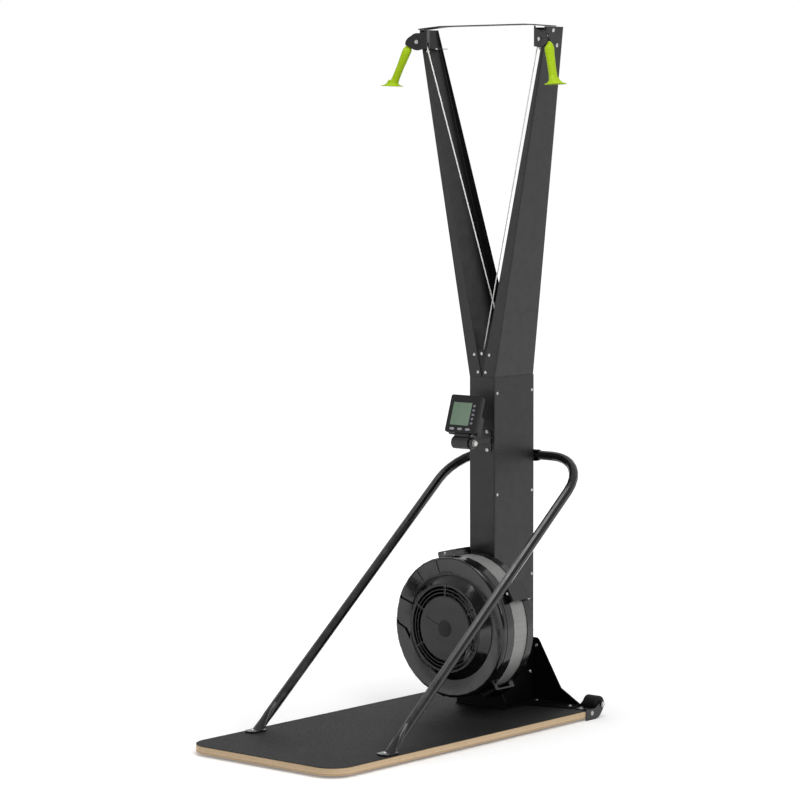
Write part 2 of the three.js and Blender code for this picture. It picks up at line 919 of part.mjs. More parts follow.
function addPulleyHeads() {
  const half = pulleyWidth / 2;
  const holeX = pulleyAcross - cordHoleInward;
  const holeY = ahead(pulleyAhead - cordHoleBehind);
  const cordHole = disc(cordHoleRadius, headBottom - overrun, headBottom + overrun)
    .translate(holeX, holeY, 0);
  const axleHole = pinInHead(axleRadius + clearance, -cheekBeforePulley - overrun, 0);
  const folded = join(cheek(), web()).applyMatrix4(headMatrix);
  const bracket = cut(join(folded, headLeg(), headLip()), cordHole, axleHole);
  placePair('pulley_bracket', bracket, materials.powderCoat);

  const cheekBack = -cheekBeforePulley + headSheet;
  const headSeat = -cheekBeforePulley - clearance;
  const axle = join(
    pinInHead(axleRadius, -cheekBeforePulley - overlap, half + axleCollarLength),
    pinInHead(axleHeadRadius, headSeat - axleHeadHeight, headSeat),
    pinInHead(axleCollarRadius, cheekBack + clearance, -half - clearance),
    pinInHead(axleCollarRadius, half + clearance, half + axleCollarLength),
  );
  placePair('pulley_axle', axle, materials.bareSteel);

  const bore = axleRadius + clearance;
  const groove = pulleyPitchRadius - cordRadius - clearance;
  const profile = grooved(bore, groove, pulleyFlangeRadius, pulleyFlangeThickness, pulleyWidth);
  const pulley = turned(profile, wheelSides).rotateX(Math.PI / 2).applyMatrix4(headMatrix);
  placePair('pulley', join(pulley), materials.mattePlastic);
}

// Handles hang from the outer side of the pulleys. Their frame starts where the cord leaves the pulley
const lean = radians(handleLean);
const cordExit = new THREE.Vector3(
  pulleyPitchRadius * Math.cos(lean),
  0,
  pulleyPitchRadius * Math.sin(lean),
);
const handleMatrix = headMatrix.clone()
  .multiply(new THREE.Matrix4().makeTranslation(cordExit))
  .multiply(new THREE.Matrix4().makeRotationY(-lean))
  .multiply(new THREE.Matrix4().makeRotationX(-radians(handleForwardTilt)));

// The grip's stations: shares of its length, half width and half depth, and of the depth that it sits back
const gripShares = [
  [0.034, 0.4, 0.32, 0.03],
  [0.062, 0.66, 0.46, 0.16],
  [0.1, 0.88, 0.66, 0.16],
  [0.15, 1, 0.93, 0.05],
  [0.22, 1, 1, 0],
  [0.35, 0.94, 0.9, 0],
  [0.56, 0.81, 0.86, 0],
  [0.8, 0.84, 0.88, 0],
  [0.93, 1, 1, 0],
];

function grip() {
  const seatRadius = cordRadius + clearance;
  const stations = [
    { down: seatRadius, width: seatRadius, depth: seatRadius, back: 0 },
    ...gripShares.map(([down, width, depth, back]) => ({
      down: down * handleLength,
      width: width * gripHalfWidth,
      depth: depth * gripHalfDepth,
      back: back * gripHalfDepth,
    })),
  ];
  const centres = stations.map(({ down, back }) => new THREE.Vector3(0, back, -down));
  const body = tube(stations.map(({ down }) => new THREE.Vector3(0, 0, -down)), 1, keySides);
  const position = body.attributes.position;
  for (let i = 0; i < position.count; i += 1) {
    const k = stations.findIndex(({ down }) => Math.abs(down + position.getZ(i)) < sameSpot);
    const { width, depth } = stations[k];
    position.setX(i, position.getX(i) * width);
    position.setY(i, position.getY(i) * depth + centres[k].y);
  }
  return body;
}

// The flange's profile from its recessed underside to its neck, as shares of its radius and height
const flangeShares = [
  [0, 0.16],
  [0.8, 0.16],
  [0.84, 0],
  [0.98, 0],
  [1, 0.08],
  [0.78, 0.2],
  [0.61, 0.38],
  [0.48, 0.66],
  [0.42, 1],
  [0, 1],
];

function handleFlange() {
  const profile = flangeShares.map(([r, h]) => [r * handleFlangeRadius, h * handleFlangeHeight]);
  const lower = handleFlangeShift / handleFlangeHeight;
  const sheared = new THREE.Matrix4().makeShear(0, 0, 0, 0, -lower, -lower);
  return turned(profile, drumSides)
    .applyMatrix4(sheared)
    .translate(handleFlangeShift, handleFlangeShift, 0)
    .rotateX(radians(handleForwardTilt))
    .rotateY(radians(handleFlangeLevelling))
    .translate(0, 0, -handleLength);
}

function addHandles() {
  const toHandle = handleMatrix.clone().multiply(new THREE.Matrix4().makeTranslation(0, 0, -handleStart));
  const handle = join(grip(), handleFlange()).applyMatrix4(toHandle);
  placePair('handle', handle, materials.handle);
  const r = cordRadius;
  const roundEnd = arcPoints(0, -handleStart, r, r, -90, 0, 3);
  const tail = turned([...roundEnd, [r, -clearance], [0, -clearance]], pinSides).applyMatrix4(handleMatrix);
  placePair('cord_end', join(tail), materials.rubber);
}

// Drive cords, from the handle side over the pulley, past a roller and round a drum on the shaft
const wrapAngle = 250;
const rightInnerLean = 13.3;
const leftInnerLean = 13.6;

function arc(centre, radius, from, to, steps, toWorld) {
  return arcPoints(0, 0, radius, radius, from, to, steps).map(([dx, dz]) => toWorld(centre, dx, dz));
}

const inShaftPlane = (centre, dx, dz) =>
  new THREE.Vector3(centre.x + dx, ahead(centre.ahead), centre.z + dz);

function overPulley(side, innerLean) {
  const inHead = (centre, dx, dz) => {
    const point = new THREE.Vector3(dx, 0, dz).applyMatrix4(headMatrix);
    return point.setX(side * point.x);
  };
  return arc(null, pulleyPitchRadius, handleLean + 1, 180 - innerLean, 9, inHead);
}

// The lean from straight down of a cord that runs from a point past a round of the given radius
function leanPast(from, centre, radius) {
  const dx = Math.abs(from.x - centre.x);
  const dz = from.z - centre.z;
  return degrees(Math.atan2(dx, dz) + Math.asin(radius / Math.hypot(dx, dz)));
}

function rightCordRoute() {
  const over = overPulley(1, rightInnerLean);
  const away = leanPast(over.at(-1), rightRoller, rollerPitchRadius);
  const drum = { x: 0, z: flywheelHeight, ahead: rightCordAhead };
  return [
    ...over,
    ...arc(rightRoller, rollerPitchRadius, 180 - away, 180, 3, inShaftPlane),
    ...arc(drum, drumPitchRadius, 180, 180 + wrapAngle, 11, inShaftPlane),
  ];
}

function leftCordRoute() {
  const over = overPulley(-1, leftInnerLean);
  const towards = leanPast(over.at(-1), leftRoller, rollerPitchRadius);
  const drum = { x: 0, z: flywheelHeight, ahead: leftCordAhead };
  const rise = leftRoller.z - drum.z;
  const crossing = Math.asin((rollerPitchRadius + drumPitchRadius) / Math.hypot(leftRoller.x, rise));
  const away = degrees(crossing + Math.atan2(leftRoller.x, rise));
  return [
    ...over,
    ...arc(leftRoller, rollerPitchRadius, towards, -away, 4, inShaftPlane),
    ...arc(drum, drumPitchRadius, 180 - away, 180 + wrapAngle, 11, inShaftPlane),
  ];
}

function addCords() {
  place('drive_cord_right', join(tube(rightCordRoute(), cordRadius, 8)), materials.cord());
  place('drive_cord_left', join(tube(leftCordRoute(), cordRadius, 8)), materials.cord());
}

// Shaft, bearings and cord drums
function addBearing(name, at) {
  const half = columnWidth / 2 - wall - 2 * clearance;
  const corners = Array(4).fill(bearingCornerRadius);
  const front = at + bearingThickness / 2;
  const back = at - bearingThickness / 2;
  const shape = roundedRectangle(
    -half,
    half,
    flywheelHeight - bearingHalfHeight,
    flywheelHeight + bearingHalfHeight,
    corners,
  );
  const bore = pinAhead(0, flywheelHeight, shaftRadius + clearance, back - overrun, front + overrun);
  place(name, cut(panel(shape, ahead(front), ahead(back), 3), bore), materials.bareSteel());
}

function addDrum(name, at) {
  const bore = shaftRadius + clearance;
  const core = drumPitchRadius - cordRadius - 2 * clearance;
  const rear = at - drumWidth / 2;
  const front = at + drumWidth / 2;
  const t = drumFlangeThickness;
  const drum = turnedAhead([
    [bore, rear],
    [drumFlangeRadius, rear],
    [drumFlangeRadius, rear + t],
    [core, rear + 1.5 * t],
    [core, front - 1.5 * t],
    [drumFlangeRadius, front - t],
    [drumFlangeRadius, front],
    [bore, front],
  ], drumSides).translate(0, 0, flywheelHeight);
  place(name, join(drum), materials.mattePlastic());
}

function addDriveTrain() {
  const shaft = pinAhead(0, flywheelHeight, shaftRadius, shaftRear, shaftFront);
  place('flywheel_shaft', join(shaft), materials.bareSteel());
  addBearing('bearing_front', bearingFrontAt);
  addBearing('bearing_rear', bearingRearAt);
  addDrum('cord_drum_right', rightCordAhead);
  addDrum('cord_drum_left', leftCordAhead);
}

// Flywheel: a disc with a ring of swept blades, tied by a rim at their front
const bladeCount = 18;

function fanBlade(turn) {
  const root = fanRadius - 2 * fanRimThickness;
  return box(
    -bladeDepth, 2 * fanRimThickness,
    ahead(bladeFront), ahead(fanDiscAt + fanDiscThickness - overlap),
    -bladeThickness / 2, bladeThickness / 2,
  ).rotateY(-radians(bladeSweep)).translate(root, 0, 0).rotateY(turn);
}

function addFan() {
  const bore = shaftRadius + clearance;
  const rear = fanDiscAt;
  const front = fanDiscAt + fanDiscThickness;
  const disk = turnedAhead([
    [bore, rear - fanHubBack],
    [fanHubRadius, rear - fanHubBack],
    [fanHubRadius, rear],
    [fanRadius, rear],
    [fanRadius, front],
    [fanHubRadius, front],
    [fanHubRadius, rear + fanHubFront],
    [bore, rear + fanHubFront],
  ], wheelSides);
  const blades = Array.from({ length: bladeCount }, (_, k) => fanBlade((-2 * Math.PI * k) / bladeCount));
  const rimOuter = fanRadius - fanRimThickness;
  const rimFront = bladeFront - overlap;
  const rim = turnedAhead([
    [rimOuter - fanRimWidth, rimFront - fanRimThickness],
    [rimOuter, rimFront - fanRimThickness],
    [rimOuter, rimFront],
    [rimOuter - fanRimWidth, rimFront],
  ], wheelSides);
  place('flywheel_fan', join(disk, ...blades, rim).translate(0, 0, flywheelHeight), materials.bareSteel());
}

// Housing
const lugAngles = [31.5, 103.5, 175.5, 247.5, 302.8];

// A block over the housing's edge: [radius, distance ahead] pairs, with its width across the radius
function lug(profile, angle) {
  return rib(outline(profile.map(([r, a]) => [ahead(a), r])), -lugWidth / 2, lugWidth / 2)
    .rotateY(radians(90 - angle));
}

function addRearShell() {
  const seat = columnDepth + clearance;
  const outer = housingRadius + rearRimOver;
  const hole = shaftHoleRadius + 2 * shellWall;
  const shell = turnedAhead([
    [hole, seat],
    [rearSeatRadius, seat],
    [rearSeatRadius + rearSeatSlope, rearShellBack],
    [rearBulgeRadius, rearShellBack],
    [rearShoulderRadius, rearShoulderAt],
    [outer, rearShoulderAt],
    [outer, rearShellFront],
    [outer - shellWall, rearShellFront],
    [outer - shellWall, rearShoulderAt + shellWall],
    [rearShoulderRadius - shellWall / 2, rearShoulderAt + shellWall],
    [rearBulgeRadius - shellWall / 2, rearShellBack + shellWall],
    [hole, rearShellBack + shellWall],
  ], housingSides);
  const top = housingRadius + lugHeight;
  const earFront = rearShellFront - lugBossDepth / 2;
  const earBack = earFront - earDepth;
  const ears = lugAngles.map((angle) => lug([
    [housingRadius - bandInset, earBack],
    [housingRadius - bandInset, earFront],
    [top, earFront],
    [top, earBack + lugRound],
    [top - lugRound, earBack],
  ], angle));
  place('housing_rear', join(shell, ...ears).translate(0, 0, flywheelHeight), materials.glossShell());
}

function addBand() {
  const outer = housingRadius - bandInset;
  const band = turnedAhead([
    [outer - bandThickness, rearShellFront + clearance],
    [outer, rearShellFront + clearance],
    [outer, bandFront - clearance],
    [outer - bandThickness, bandFront - clearance],
  ], housingSides).translate(0, 0, flywheelHeight);
  place('housing_band', join(band), materials.paleSheet());
}

function polar(radius, angle) {
  return [radius * Math.cos(radians(angle)), radius * Math.sin(radians(angle))];
}

function sector(inner, outer, from, to, steps) {
  return outline([
    ...arcPoints(0, 0, outer, outer, from, to, steps),
    ...arcPoints(0, 0, inner, inner, to, from, steps),
  ]);
}

const rimArc = arcPoints(housingRadius - rimRound, annulusFront - rimDepth, rimRound, rimDepth, 0, 90, 3);
const annulusInnerFront = annulusFront - annulusSlope;
const coneFoot = annulusInnerRadius - 2 * annulusStep;

function frontShell() {
  const r = housingRadius;
  const t = shellWall;
  const grooveBack = ringGrooveAt - ringGrooveWidth / 2;
  const grooveFront = ringGrooveAt + ringGrooveWidth / 2;
  return turnedAhead([
    [r, bandFront],
    [r, grooveBack],
    [r - ringGrooveDepth, grooveBack],
    [r - ringGrooveDepth, grooveFront],
    [r, grooveFront],
    ...rimArc,
    [annulusInnerRadius, annulusInnerFront],
    [coneFoot, annulusInnerFront - annulusStep],
    [grilleRadius + grilleLipWidth, grilleFront - grilleLipWidth / 2],
    [grilleRadius, grilleFront],
    [grilleRadius, grilleFront - t],
    [coneFoot, annulusInnerFront - annulusStep - t],
    [annulusInnerRadius, annulusInnerFront - t],
    [r - rimRound, annulusFront - t],
    [r - t, annulusFront - rimDepth],
    [r - t, bandFront],
  ], housingSides);
}

// What lies in front of a surface that is set back into the annulus by a depth
function beforeAnnulus(depth) {
  const inner = annulusInnerRadius - 4 * annulusStep;
  const outer = housingRadius + overrun;
  return turnedAhead([
    [inner, annulusInnerFront - depth],
    [annulusInnerRadius, annulusInnerFront - depth],
    [housingRadius - rimRound, annulusFront - depth],
    [outer, annulusFront - depth],
    [outer, annulusFront + overrun],
    [inner, annulusFront + overrun],
  ], housingSides);
}

function throughFront(shape) {
  return panel(shape, ahead(annulusFront + overrun), ahead(annulusFront - 2 * overrun));
}

// The damper's scale lies between two recesses: shares of the housing's radius, with angles
const upperRecessShares = [[0.975, 157.4], [0.757, 150.8], [0.757, 159.5], [0.975, 159.5]];
const lowerRecessShares = [
  [0.975, 179],
  [0.757, 179],
  [0.757, 192],
  [0.785, 199.2],
  [0.84, 186.7],
  [0.97, 181.5],
];
const pocketShares = [
  { inner: 0.735, outer: 0.99, from: 148, to: 161.5 },
  { inner: 0.735, outer: 0.99, from: 177, to: 202 },
];
// Fine lines in the annulus: a radial joint with a return along a ring, and a facet's edge
const mouldLineShares = [
  { inner: 0.8, outer: 0.985, from: 102.6, to: 104.4, steps: 1 },
  { inner: 0.793, outer: 0.827, from: 86.3, to: 104.4, steps: 4 },
  { inner: 0.79, outer: 0.96, from: 127.5, to: 128.5, steps: 1 },
];

function addFrontShell() {
  const r = housingRadius;
  const top = r + lugHeight;
  const bottom = r - bandInset + 2 * clearance;
  const half = lugBossDepth / 2;
  const back = rearShellFront - half + clearance;
  const front = bandFront;
  const barLow = top - lugBarThickness;
  const lugs = lugAngles.map((angle) => lug([
    [r + rearRimOver + 2 * clearance, back],
    [r + rearRimOver + 2 * clearance, back + half],
    [barLow, back + half],
    [barLow, front - half],
    [bottom, front - half],
    [bottom, front + clearance],
    [r - shellWall - clearance, front + clearance],
    [r - shellWall - clearance, front + half],
    [top - lugRound, front + half],
    [top, front + half - lugRound],
    [top, back],
  ], angle));
  const pockets = pocketShares.map(({ inner, outer, from, to }) => {
    const prism = throughFront(sector(inner * r, outer * r, from, to, 4));
    const deep = common(prism, beforeAnnulus(recessDepth + recessWall));
    return cut(deep, beforeAnnulus(shellWall / 2 + overlap));
  });
  const recesses = [upperRecessShares, lowerRecessShares].map((shares) => {
    const prism = throughFront(outline(shares.map(([share, angle]) => polar(share * r, angle))));
    return common(prism, beforeAnnulus(recessDepth));
  });
  const lines = mouldLineShares.map(({ inner, outer, from, to, steps }) =>
    common(throughFront(sector(inner * r, outer * r, from, to, steps)), beforeAnnulus(mouldLineDepth)));
  const geometry = cut(join(frontShell(), ...lugs, ...pockets), ...recesses, ...lines);
  place('housing_front', geometry.translate(0, 0, flywheelHeight), materials.glossShell());
}

// Damper: a dial with rings of slots that turns over the fixed intake grille
const slotRingShares = [[0.727, 0.795], [0.81, 0.874], [0.889, 0.953]];
const spokeCount = 6;
const dialSpokeHalfAngle = 0.8;
const grilleSpokeHalfAngle = 1.2;
const grilleSpokeTurn = 3;
const pointerAngle = 158;

function slottedPlate(radius, rings, spokeHalfAngle, turn, y0, y1, boreRadius) {
  const shape = outline(circle(radius, housingSides));
  if (boreRadius > 0) shape.holes.push(outline(circle(boreRadius, wheelSides)));
  const step = 360 / spokeCount;
  for (const [inner, outer] of rings) {
    for (let k = 0; k < spokeCount; k += 1) {
      const from = 90 + turn + k * step + spokeHalfAngle;
      const to = from + step - 2 * spokeHalfAngle;
      shape.holes.push(sector(inner * grilleRadius, outer * grilleRadius, from, to, 5));
    }
  }
  return panel(shape, y0, y1);
}

function addDamper() {
  const face = grilleFront + dialCentreRise;
  const plateBack = grilleFront - dialThickness;
  const plate = slottedPlate(grilleRadius - dialRimGap, slotRingShares, dialSpokeHalfAngle, 0,
    ahead(grilleFront), ahead(plateBack), 0);
  const centre = turnedAhead([
    [0, grilleFront - overlap],
    [dialCentreRadius, grilleFront - overlap],
    [dialCentreRadius, face - dialCentreBevel],
    [dialCentreRadius - dialCentreBevel, face],
    [0, face],
  ], housingSides);
  const grooveFloor = face - dialGrooveDepth;
  const hubGroove = turnedAhead([
    [dialHubRadius - dialGrooveWidth, grooveFloor],
    [dialHubRadius, grooveFloor],
    [dialHubRadius, face + overrun],
    [dialHubRadius - dialGrooveWidth, face + overrun],
  ], wheelSides);
  const pointer = panel(outline([
    polar(dialHubRadius, pointerAngle + pointerHalfAngle),
    polar(dialHubRadius, pointerAngle - pointerHalfAngle),
    polar(dialHubRadius + pointerLength, pointerAngle),
  ]), ahead(face + overrun), ahead(grooveFloor));
  const dial = cut(join(plate, centre), hubGroove, pointer);
  place('damper_dial', dial.translate(0, 0, flywheelHeight), materials.glossShell());

  const grilleTop = plateBack - 2 * clearance;
  const opening = [[slotRingShares[0][0], slotRingShares.at(-1)[1]]];
  const grille = slottedPlate(grilleRadius - clearance, opening, grilleSpokeHalfAngle, grilleSpokeTurn,
    ahead(grilleTop), ahead(grilleTop - grilleThickness), grilleBoreRadius);
  place('intake_grille', join(grille).translate(0, 0, flywheelHeight), materials.glossShell());
}

// Leg tube
function legRoute() {
  const corner = new THREE.Vector3(legHalfSpread, ahead(legBarAhead), legBarHeight);
  const padMiddle = deckTop + clearance + footPadThickness / 2;
  const foot = new THREE.Vector3(legFootAcross, ahead(legFootAhead), padMiddle);
  const toe = foot.clone().setY(ahead(legFootAhead + footPadLength * legToeShare));
  const down = foot.clone().sub(corner).normalize();
  const inward = new THREE.Vector3(-1, 0, 0);
  const centre = corner.clone().addScaledVector(inward, legBendRadius).addScaledVector(down, legBendRadius);
  const bend = arcPoints(0, 0, legBendRadius, legBendRadius, 0, 90, 8).map(([along, across]) =>
    centre.clone().addScaledVector(down, -along).addScaledVector(inward, -across));
  const flare = flareShares.map(([share]) => foot.clone().addScaledVector(down, -share * legFlareLength));
  const right = [...bend, ...flare, foot, toe];
  const left = right.map((point) => point.clone().setX(-point.x)).reverse();
  return [...left, ...right];
}

// The tube flattens over its last stretch: shares of that stretch above the foot, of its width and thickness
const legToeShare = 0.5;
const flareShares = [[1, 1, 1], [0.6, 1.06, 0.9], [0.25, 1.28, 0.5]];
const flatShares = [1.44, footPadThickness / legTubeRadius / 2];

function flareAt(fromEnd) {
  if (fromEnd < 2) return flatShares;
  const station = flareShares[flareShares.length + 1 - fromEnd];
  return station ? station.slice(1) : [1, 1];
}

function addLegFrame() {
  const route = legRoute();
  const across = new THREE.Vector3(1, 0, 0);
  const bar = reshaped(tube(route, legTubeRadius, 10), route, across, (k) =>
    flareAt(Math.min(k, route.length - 1 - k)));
  const padBottom = deckTop + clearance;
  const padBack = legFootAhead - footPadLength / 3;
  const pads = [1, -1].map((side) => slab(
    roundedRectangle(
      side * legFootAcross - footPadWidth / 2,
      side * legFootAcross + footPadWidth / 2,
      ahead(padBack + footPadLength),
      ahead(padBack),
      [footPadRadius, footPadRadius, footPadHeelRadius, footPadHeelRadius],
    ),
    padBottom,
    padBottom + footPadThickness,
    3,
  ));
  const reach = legFootAcross + footPadWidth;
  const belowPads = box(-reach, reach, ahead(deckLength), ahead(legFootAhead / 2), -overrun, padBottom);
  place('leg_frame', cut(join(bar, ...pads), belowPads), materials.powderCoat());
}

// Leg clamp: a collar round the tube with a flange above and below it
function addLegClamp() {
  const axisY = ahead(legBarAhead);
  const inner = legTubeRadius + clearance;
  const outer = inner + clampSheet;
  const seat = ahead(-clearance);
  const collar = (x, half) => {
    const shape = new THREE.Shape();
    shape.moveTo(seat, legBarHeight - outer);
    shape.lineTo(axisY, legBarHeight - outer);
    shape.absarc(axisY, legBarHeight, outer, -Math.PI / 2, Math.PI / 2);
    shape.lineTo(seat, legBarHeight + outer);
    shape.lineTo(seat, legBarHeight + inner);
    shape.lineTo(axisY, legBarHeight + inner);
    shape.absarc(axisY, legBarHeight, inner, Math.PI / 2, -Math.PI / 2, true);
    shape.lineTo(seat, legBarHeight - inner);
    return rib(shape, x - half, x + half, 6);
  };
  const half = columnWidth / 2 - clampFlangeInset;
  const flangeBack = seat + clampSheet;
  const flanges = [1, -1].map((side) => {
    const from = legBarHeight + side * inner;
    const to = legBarHeight + side * (outer + clampFlangeHeight);
    return box(-half, half, seat, flangeBack, Math.min(from, to), Math.max(from, to));
  });
  const body = join(collar(0, columnWidth / 2 + clampCollarOverhang), ...flanges);
  place('leg_clamp', body, materials.blackSteel());
}

// Transport wheels
function wheelBracket() {
  const side = deckWidth / 2 + clearance;
  const top = deckTop + bracketSheet;
  const wheelY = ahead(-wheelBehindDeck);
  const earAngle = -0.9;
  const lowEar = wheelHeight - wheelRadius + bracketSheet;
  const sideShape = new THREE.Shape();
  sideShape.moveTo(ahead(bracketLength), 0);
  sideShape.lineTo(ahead(bracketHeelDepth), 0);
  sideShape.quadraticCurveTo(ahead(-wheelBehindDeck / 2), 0, ahead(-wheelBehindDeck), lowEar);
  sideShape.absarc(wheelY, wheelHeight, bracketEarRadius, earAngle, Math.PI / 2);
  sideShape.lineTo(ahead(bracketHeelDepth), top);
  sideShape.lineTo(ahead(bracketLength), top);
  const sidePlate = rib(sideShape, side, side + bracketSheet, 6);

  const innerEar = side - wheelInset - wheelWidth - bracketEarGap;
  const back = box(
    innerEar - bracketSheet, side + overlap,
    ahead(-clearance), ahead(-bracketSheet),
    bracketBackBottom, top,
  );
  const earShape = new THREE.Shape();
  earShape.moveTo(ahead(-overlap), bracketBackBottom);
  earShape.quadraticCurveTo(ahead(-wheelBehindDeck / 2), bracketBackBottom, ahead(-wheelBehindDeck), lowEar);
  earShape.absarc(wheelY, wheelHeight, bracketEarRadius, earAngle, Math.PI / 2);
  earShape.lineTo(ahead(-overlap), top);
  const ear = rib(earShape, innerEar - bracketSheet, innerEar, 6);
  const tab = box(
    innerEar + bracketEarRadius, side + overlap,
    ahead(bracketTabDepth), ahead(-bracketSheet),
    deckTop + clearance, top,
  );
  const axleEnd = side + bracketSheet + axleOverhang;
  const axle = pinAlongX(wheelAxleRadius, innerEar - overlap, axleEnd, wheelY, wheelHeight);
  return join(sidePlate, back, ear, tab, axle);
}

function addWheels() {
  placePair('wheel_bracket', wheelBracket(), materials.blackSteel);
  const bore = wheelAxleRadius + clearance;
  const half = wheelWidth / 2;
  const crown = wheelCrownWidth / 2;
  const hub = wheelRadius - wheelHubStep;
  const wheel = turnedAlongX([
    [bore, -half],
    [hub, -half],
    [wheelRadius, -crown],
    [wheelRadius, crown],
    [hub, half],
    [bore, half],
  ], wheelSides);
  const across = deckWidth / 2 - wheelInset - half;
  placePair('wheel', join(wheel).translate(across, ahead(-wheelBehindDeck), wheelHeight), materials.rubber);
}

// Monitor bracket, knob and monitor
function addMonitorBracket() {
  const seat = columnDepth + clearance;
  const plateFront = seat + bracketPlateThickness;
  const plate = panel(
    roundedRectangle(
      -bracketPlateHalfWidth,
      bracketPlateHalfWidth,
      hingeHeight - bracketPlateBelow,
      hingeHeight + bracketPlateAbove,
      Array(4).fill(bracketPlateRadius),
    ),
    ahead(plateFront),
    ahead(seat),
    3,
  );
  const inner = hingeRight + clearance + overlap;
  const web = inner + bracketArmThickness;
  const r = bracketArmHalfHeight;
  const armShape = new THREE.Shape();
  armShape.moveTo(ahead(seat + overlap), hingeHeight - r);
  armShape.lineTo(ahead(hingeAhead), hingeHeight - r);
  armShape.absarc(ahead(hingeAhead), hingeHeight, r, -Math.PI / 2, Math.PI / 2, true);
  armShape.lineTo(ahead(seat + overlap), hingeHeight + r);
  const arm = rib(armShape, inner, web, 6);
  const flangeFront = ahead(hingeAhead - knobRadius - clearance);
  const flanges = [-r, r - bracketArmThickness].map((low) => box(
    inner, web + bracketArmFlange,
    flangeFront, ahead(seat + overlap),
    hingeHeight + low, hingeHeight + low + bracketArmThickness,
  ));
  const foot = box(
    bracketPlateHalfWidth - bracketPlateRadius, web + bracketArmFlange,
    ahead(plateFront), ahead(seat + overlap),
    hingeHeight - r, hingeHeight + r,
  );
  const bolt = pinAlongX(hingeBoltRadius, hingeRight - hingeBoltInside, web + hingeBoltOutside,
    ahead(hingeAhead), hingeHeight);
  place('monitor_bracket', join(plate, arm, foot, bolt, ...flanges), materials.mattePlastic());
}

const scallopCount = 8;

function addMonitorKnob() {
  const scallops = Array.from({ length: scallopCount * 4 }, (_, k) => {
    const angle = (2 * Math.PI * k) / (scallopCount * 4);
    const r = knobRadius - scallopDepth * (0.5 - 0.5 * Math.cos(scallopCount * angle));
    return [r * Math.cos(angle), r * Math.sin(angle)];
  });
  const start = hingeRight + overlap + bracketArmThickness + 2 * clearance;
  const body = rib(outline(scallops), start, start + knobThickness);
  const end = start + knobThickness;
  const bore = pinAlongX(hingeBoltRadius + clearance, start - overrun, end + overrun, 0, 0);
  const recess = pinAlongX(knobRecessRadius, end - knobRecessDepth, end + overrun, 0, 0, wheelSides);
  const knob = cut(body, bore, recess).translate(0, ahead(hingeAhead), hingeHeight);
  place('monitor_knob', knob, materials.mattePlastic());
}

// The monitor's frame lies in its face: X to the right, Z up the face, +Y into the housing
const monitorMatrix = new THREE.Matrix4()
  .makeRotationX(-radians(monitorTilt))
  .setPosition(0, ahead(monitorAhead), monitorHeight);
const sideKeyCount = 5;
const lowKeyCount = 3;
const monitorRadii = [monitorLowRadius, monitorLowRadius, monitorTopRadius, monitorTopRadius];

function sideKeys() {
  return Array.from({ length: sideKeyCount }, (_, k) => [sideKeyAcross, sideKeyBottom + k * sideKeyPitch]);
}

function lowKeys() {
  return Array.from({ length: lowKeyCount }, (_, k) => [(k - 1) * lowKeyPitch - lowKeyShift, lowKeyUp]);
}

function ellipsePrism([x, z], a, b, y0, y1) {
  const points = arcPoints(x, z, a, b, 0, 360, keySides).slice(0, keySides);
  return panel(outline(points), y0, y1);
}

function monitorFront() {
  const half = monitorSize / 2;
  const face = roundedRectangle(-half, half, 0, monitorSize, monitorRadii);
  const screen = box(
    -screenLeft, -screenLeft + screenWidth,
    -overrun, screenDepth,
    screenBottom, screenBottom + screenHeight,
  );
  const wells = [
    ...sideKeys().map((at) =>
      ellipsePrism(at, sideKeyHalfWidth + keyGap, sideKeyHalfHeight + keyGap, -overrun, keyWellDepth)),
    ...lowKeys().map((at) =>
      ellipsePrism(at, lowKeyHalfWidth + keyGap, lowKeyHalfHeight + keyGap, -overrun, keyWellDepth)),
  ];
  return cut(panel(face, 0, bezelDepth, 4), screen, ...wells);
}

// The bezel's outer form grown by the clearance, to cut what lies behind it
function bezelRoom() {
  const half = monitorSize / 2 + clearance;
  return panel(
    roundedRectangle(-half, half, -clearance, monitorSize + clearance, monitorRadii),
    -clearance,
    bezelDepth + clearance,
    4,
  );
}

function monitorBack() {
  const half = monitorSize / 2;
  const shell = panel(
    roundedRectangle(
      -half + backShellInset,
      half - backShellInset,
      backShellBottom,
      monitorSize - backShellInset,
      monitorRadii,
    ),
    bezelDepth + clearance,
    backShellDepth,
    3,
  );
  const inside = backShellDepth - 2 * overlap;
  const battery = rib(outline([
    [inside, batteryBottom],
    [batteryDepth - batteryBevel, batteryBottom],
    [batteryDepth, batteryBottom + batteryBevel],
    [batteryDepth, batteryTop - batteryBevel],
    [batteryDepth - batteryBevel, batteryTop],
    [inside, batteryTop],
  ]), -half + batteryInset, half - batteryInset);
  const neck = box(-neckLeft, neckRight, neckFront, neckBack, -neckBelow, neckAbove);
  const body = join(shell, battery, neck).applyMatrix4(monitorMatrix);
  const barrel = turnedAlongX([
    [0, -hingeLeft],
    [hingeRadius - 2 * hingeEdgeBevel, -hingeLeft],
    [hingeRadius, -hingeLeft + hingeEdgeBevel],
    [hingeRadius, hingeRight],
    [0, hingeRight],
  ], wheelSides).translate(0, ahead(hingeAhead), hingeHeight);
  const boltBore = pinAlongX(
    hingeBoltRadius + clearance,
    hingeRight - hingeBoltInside - overlap,
    hingeRight + overrun,
    ahead(hingeAhead),
    hingeHeight,
  );
  return cut(join(body, barrel), boltBore, bezelRoom().applyMatrix4(monitorMatrix));
}

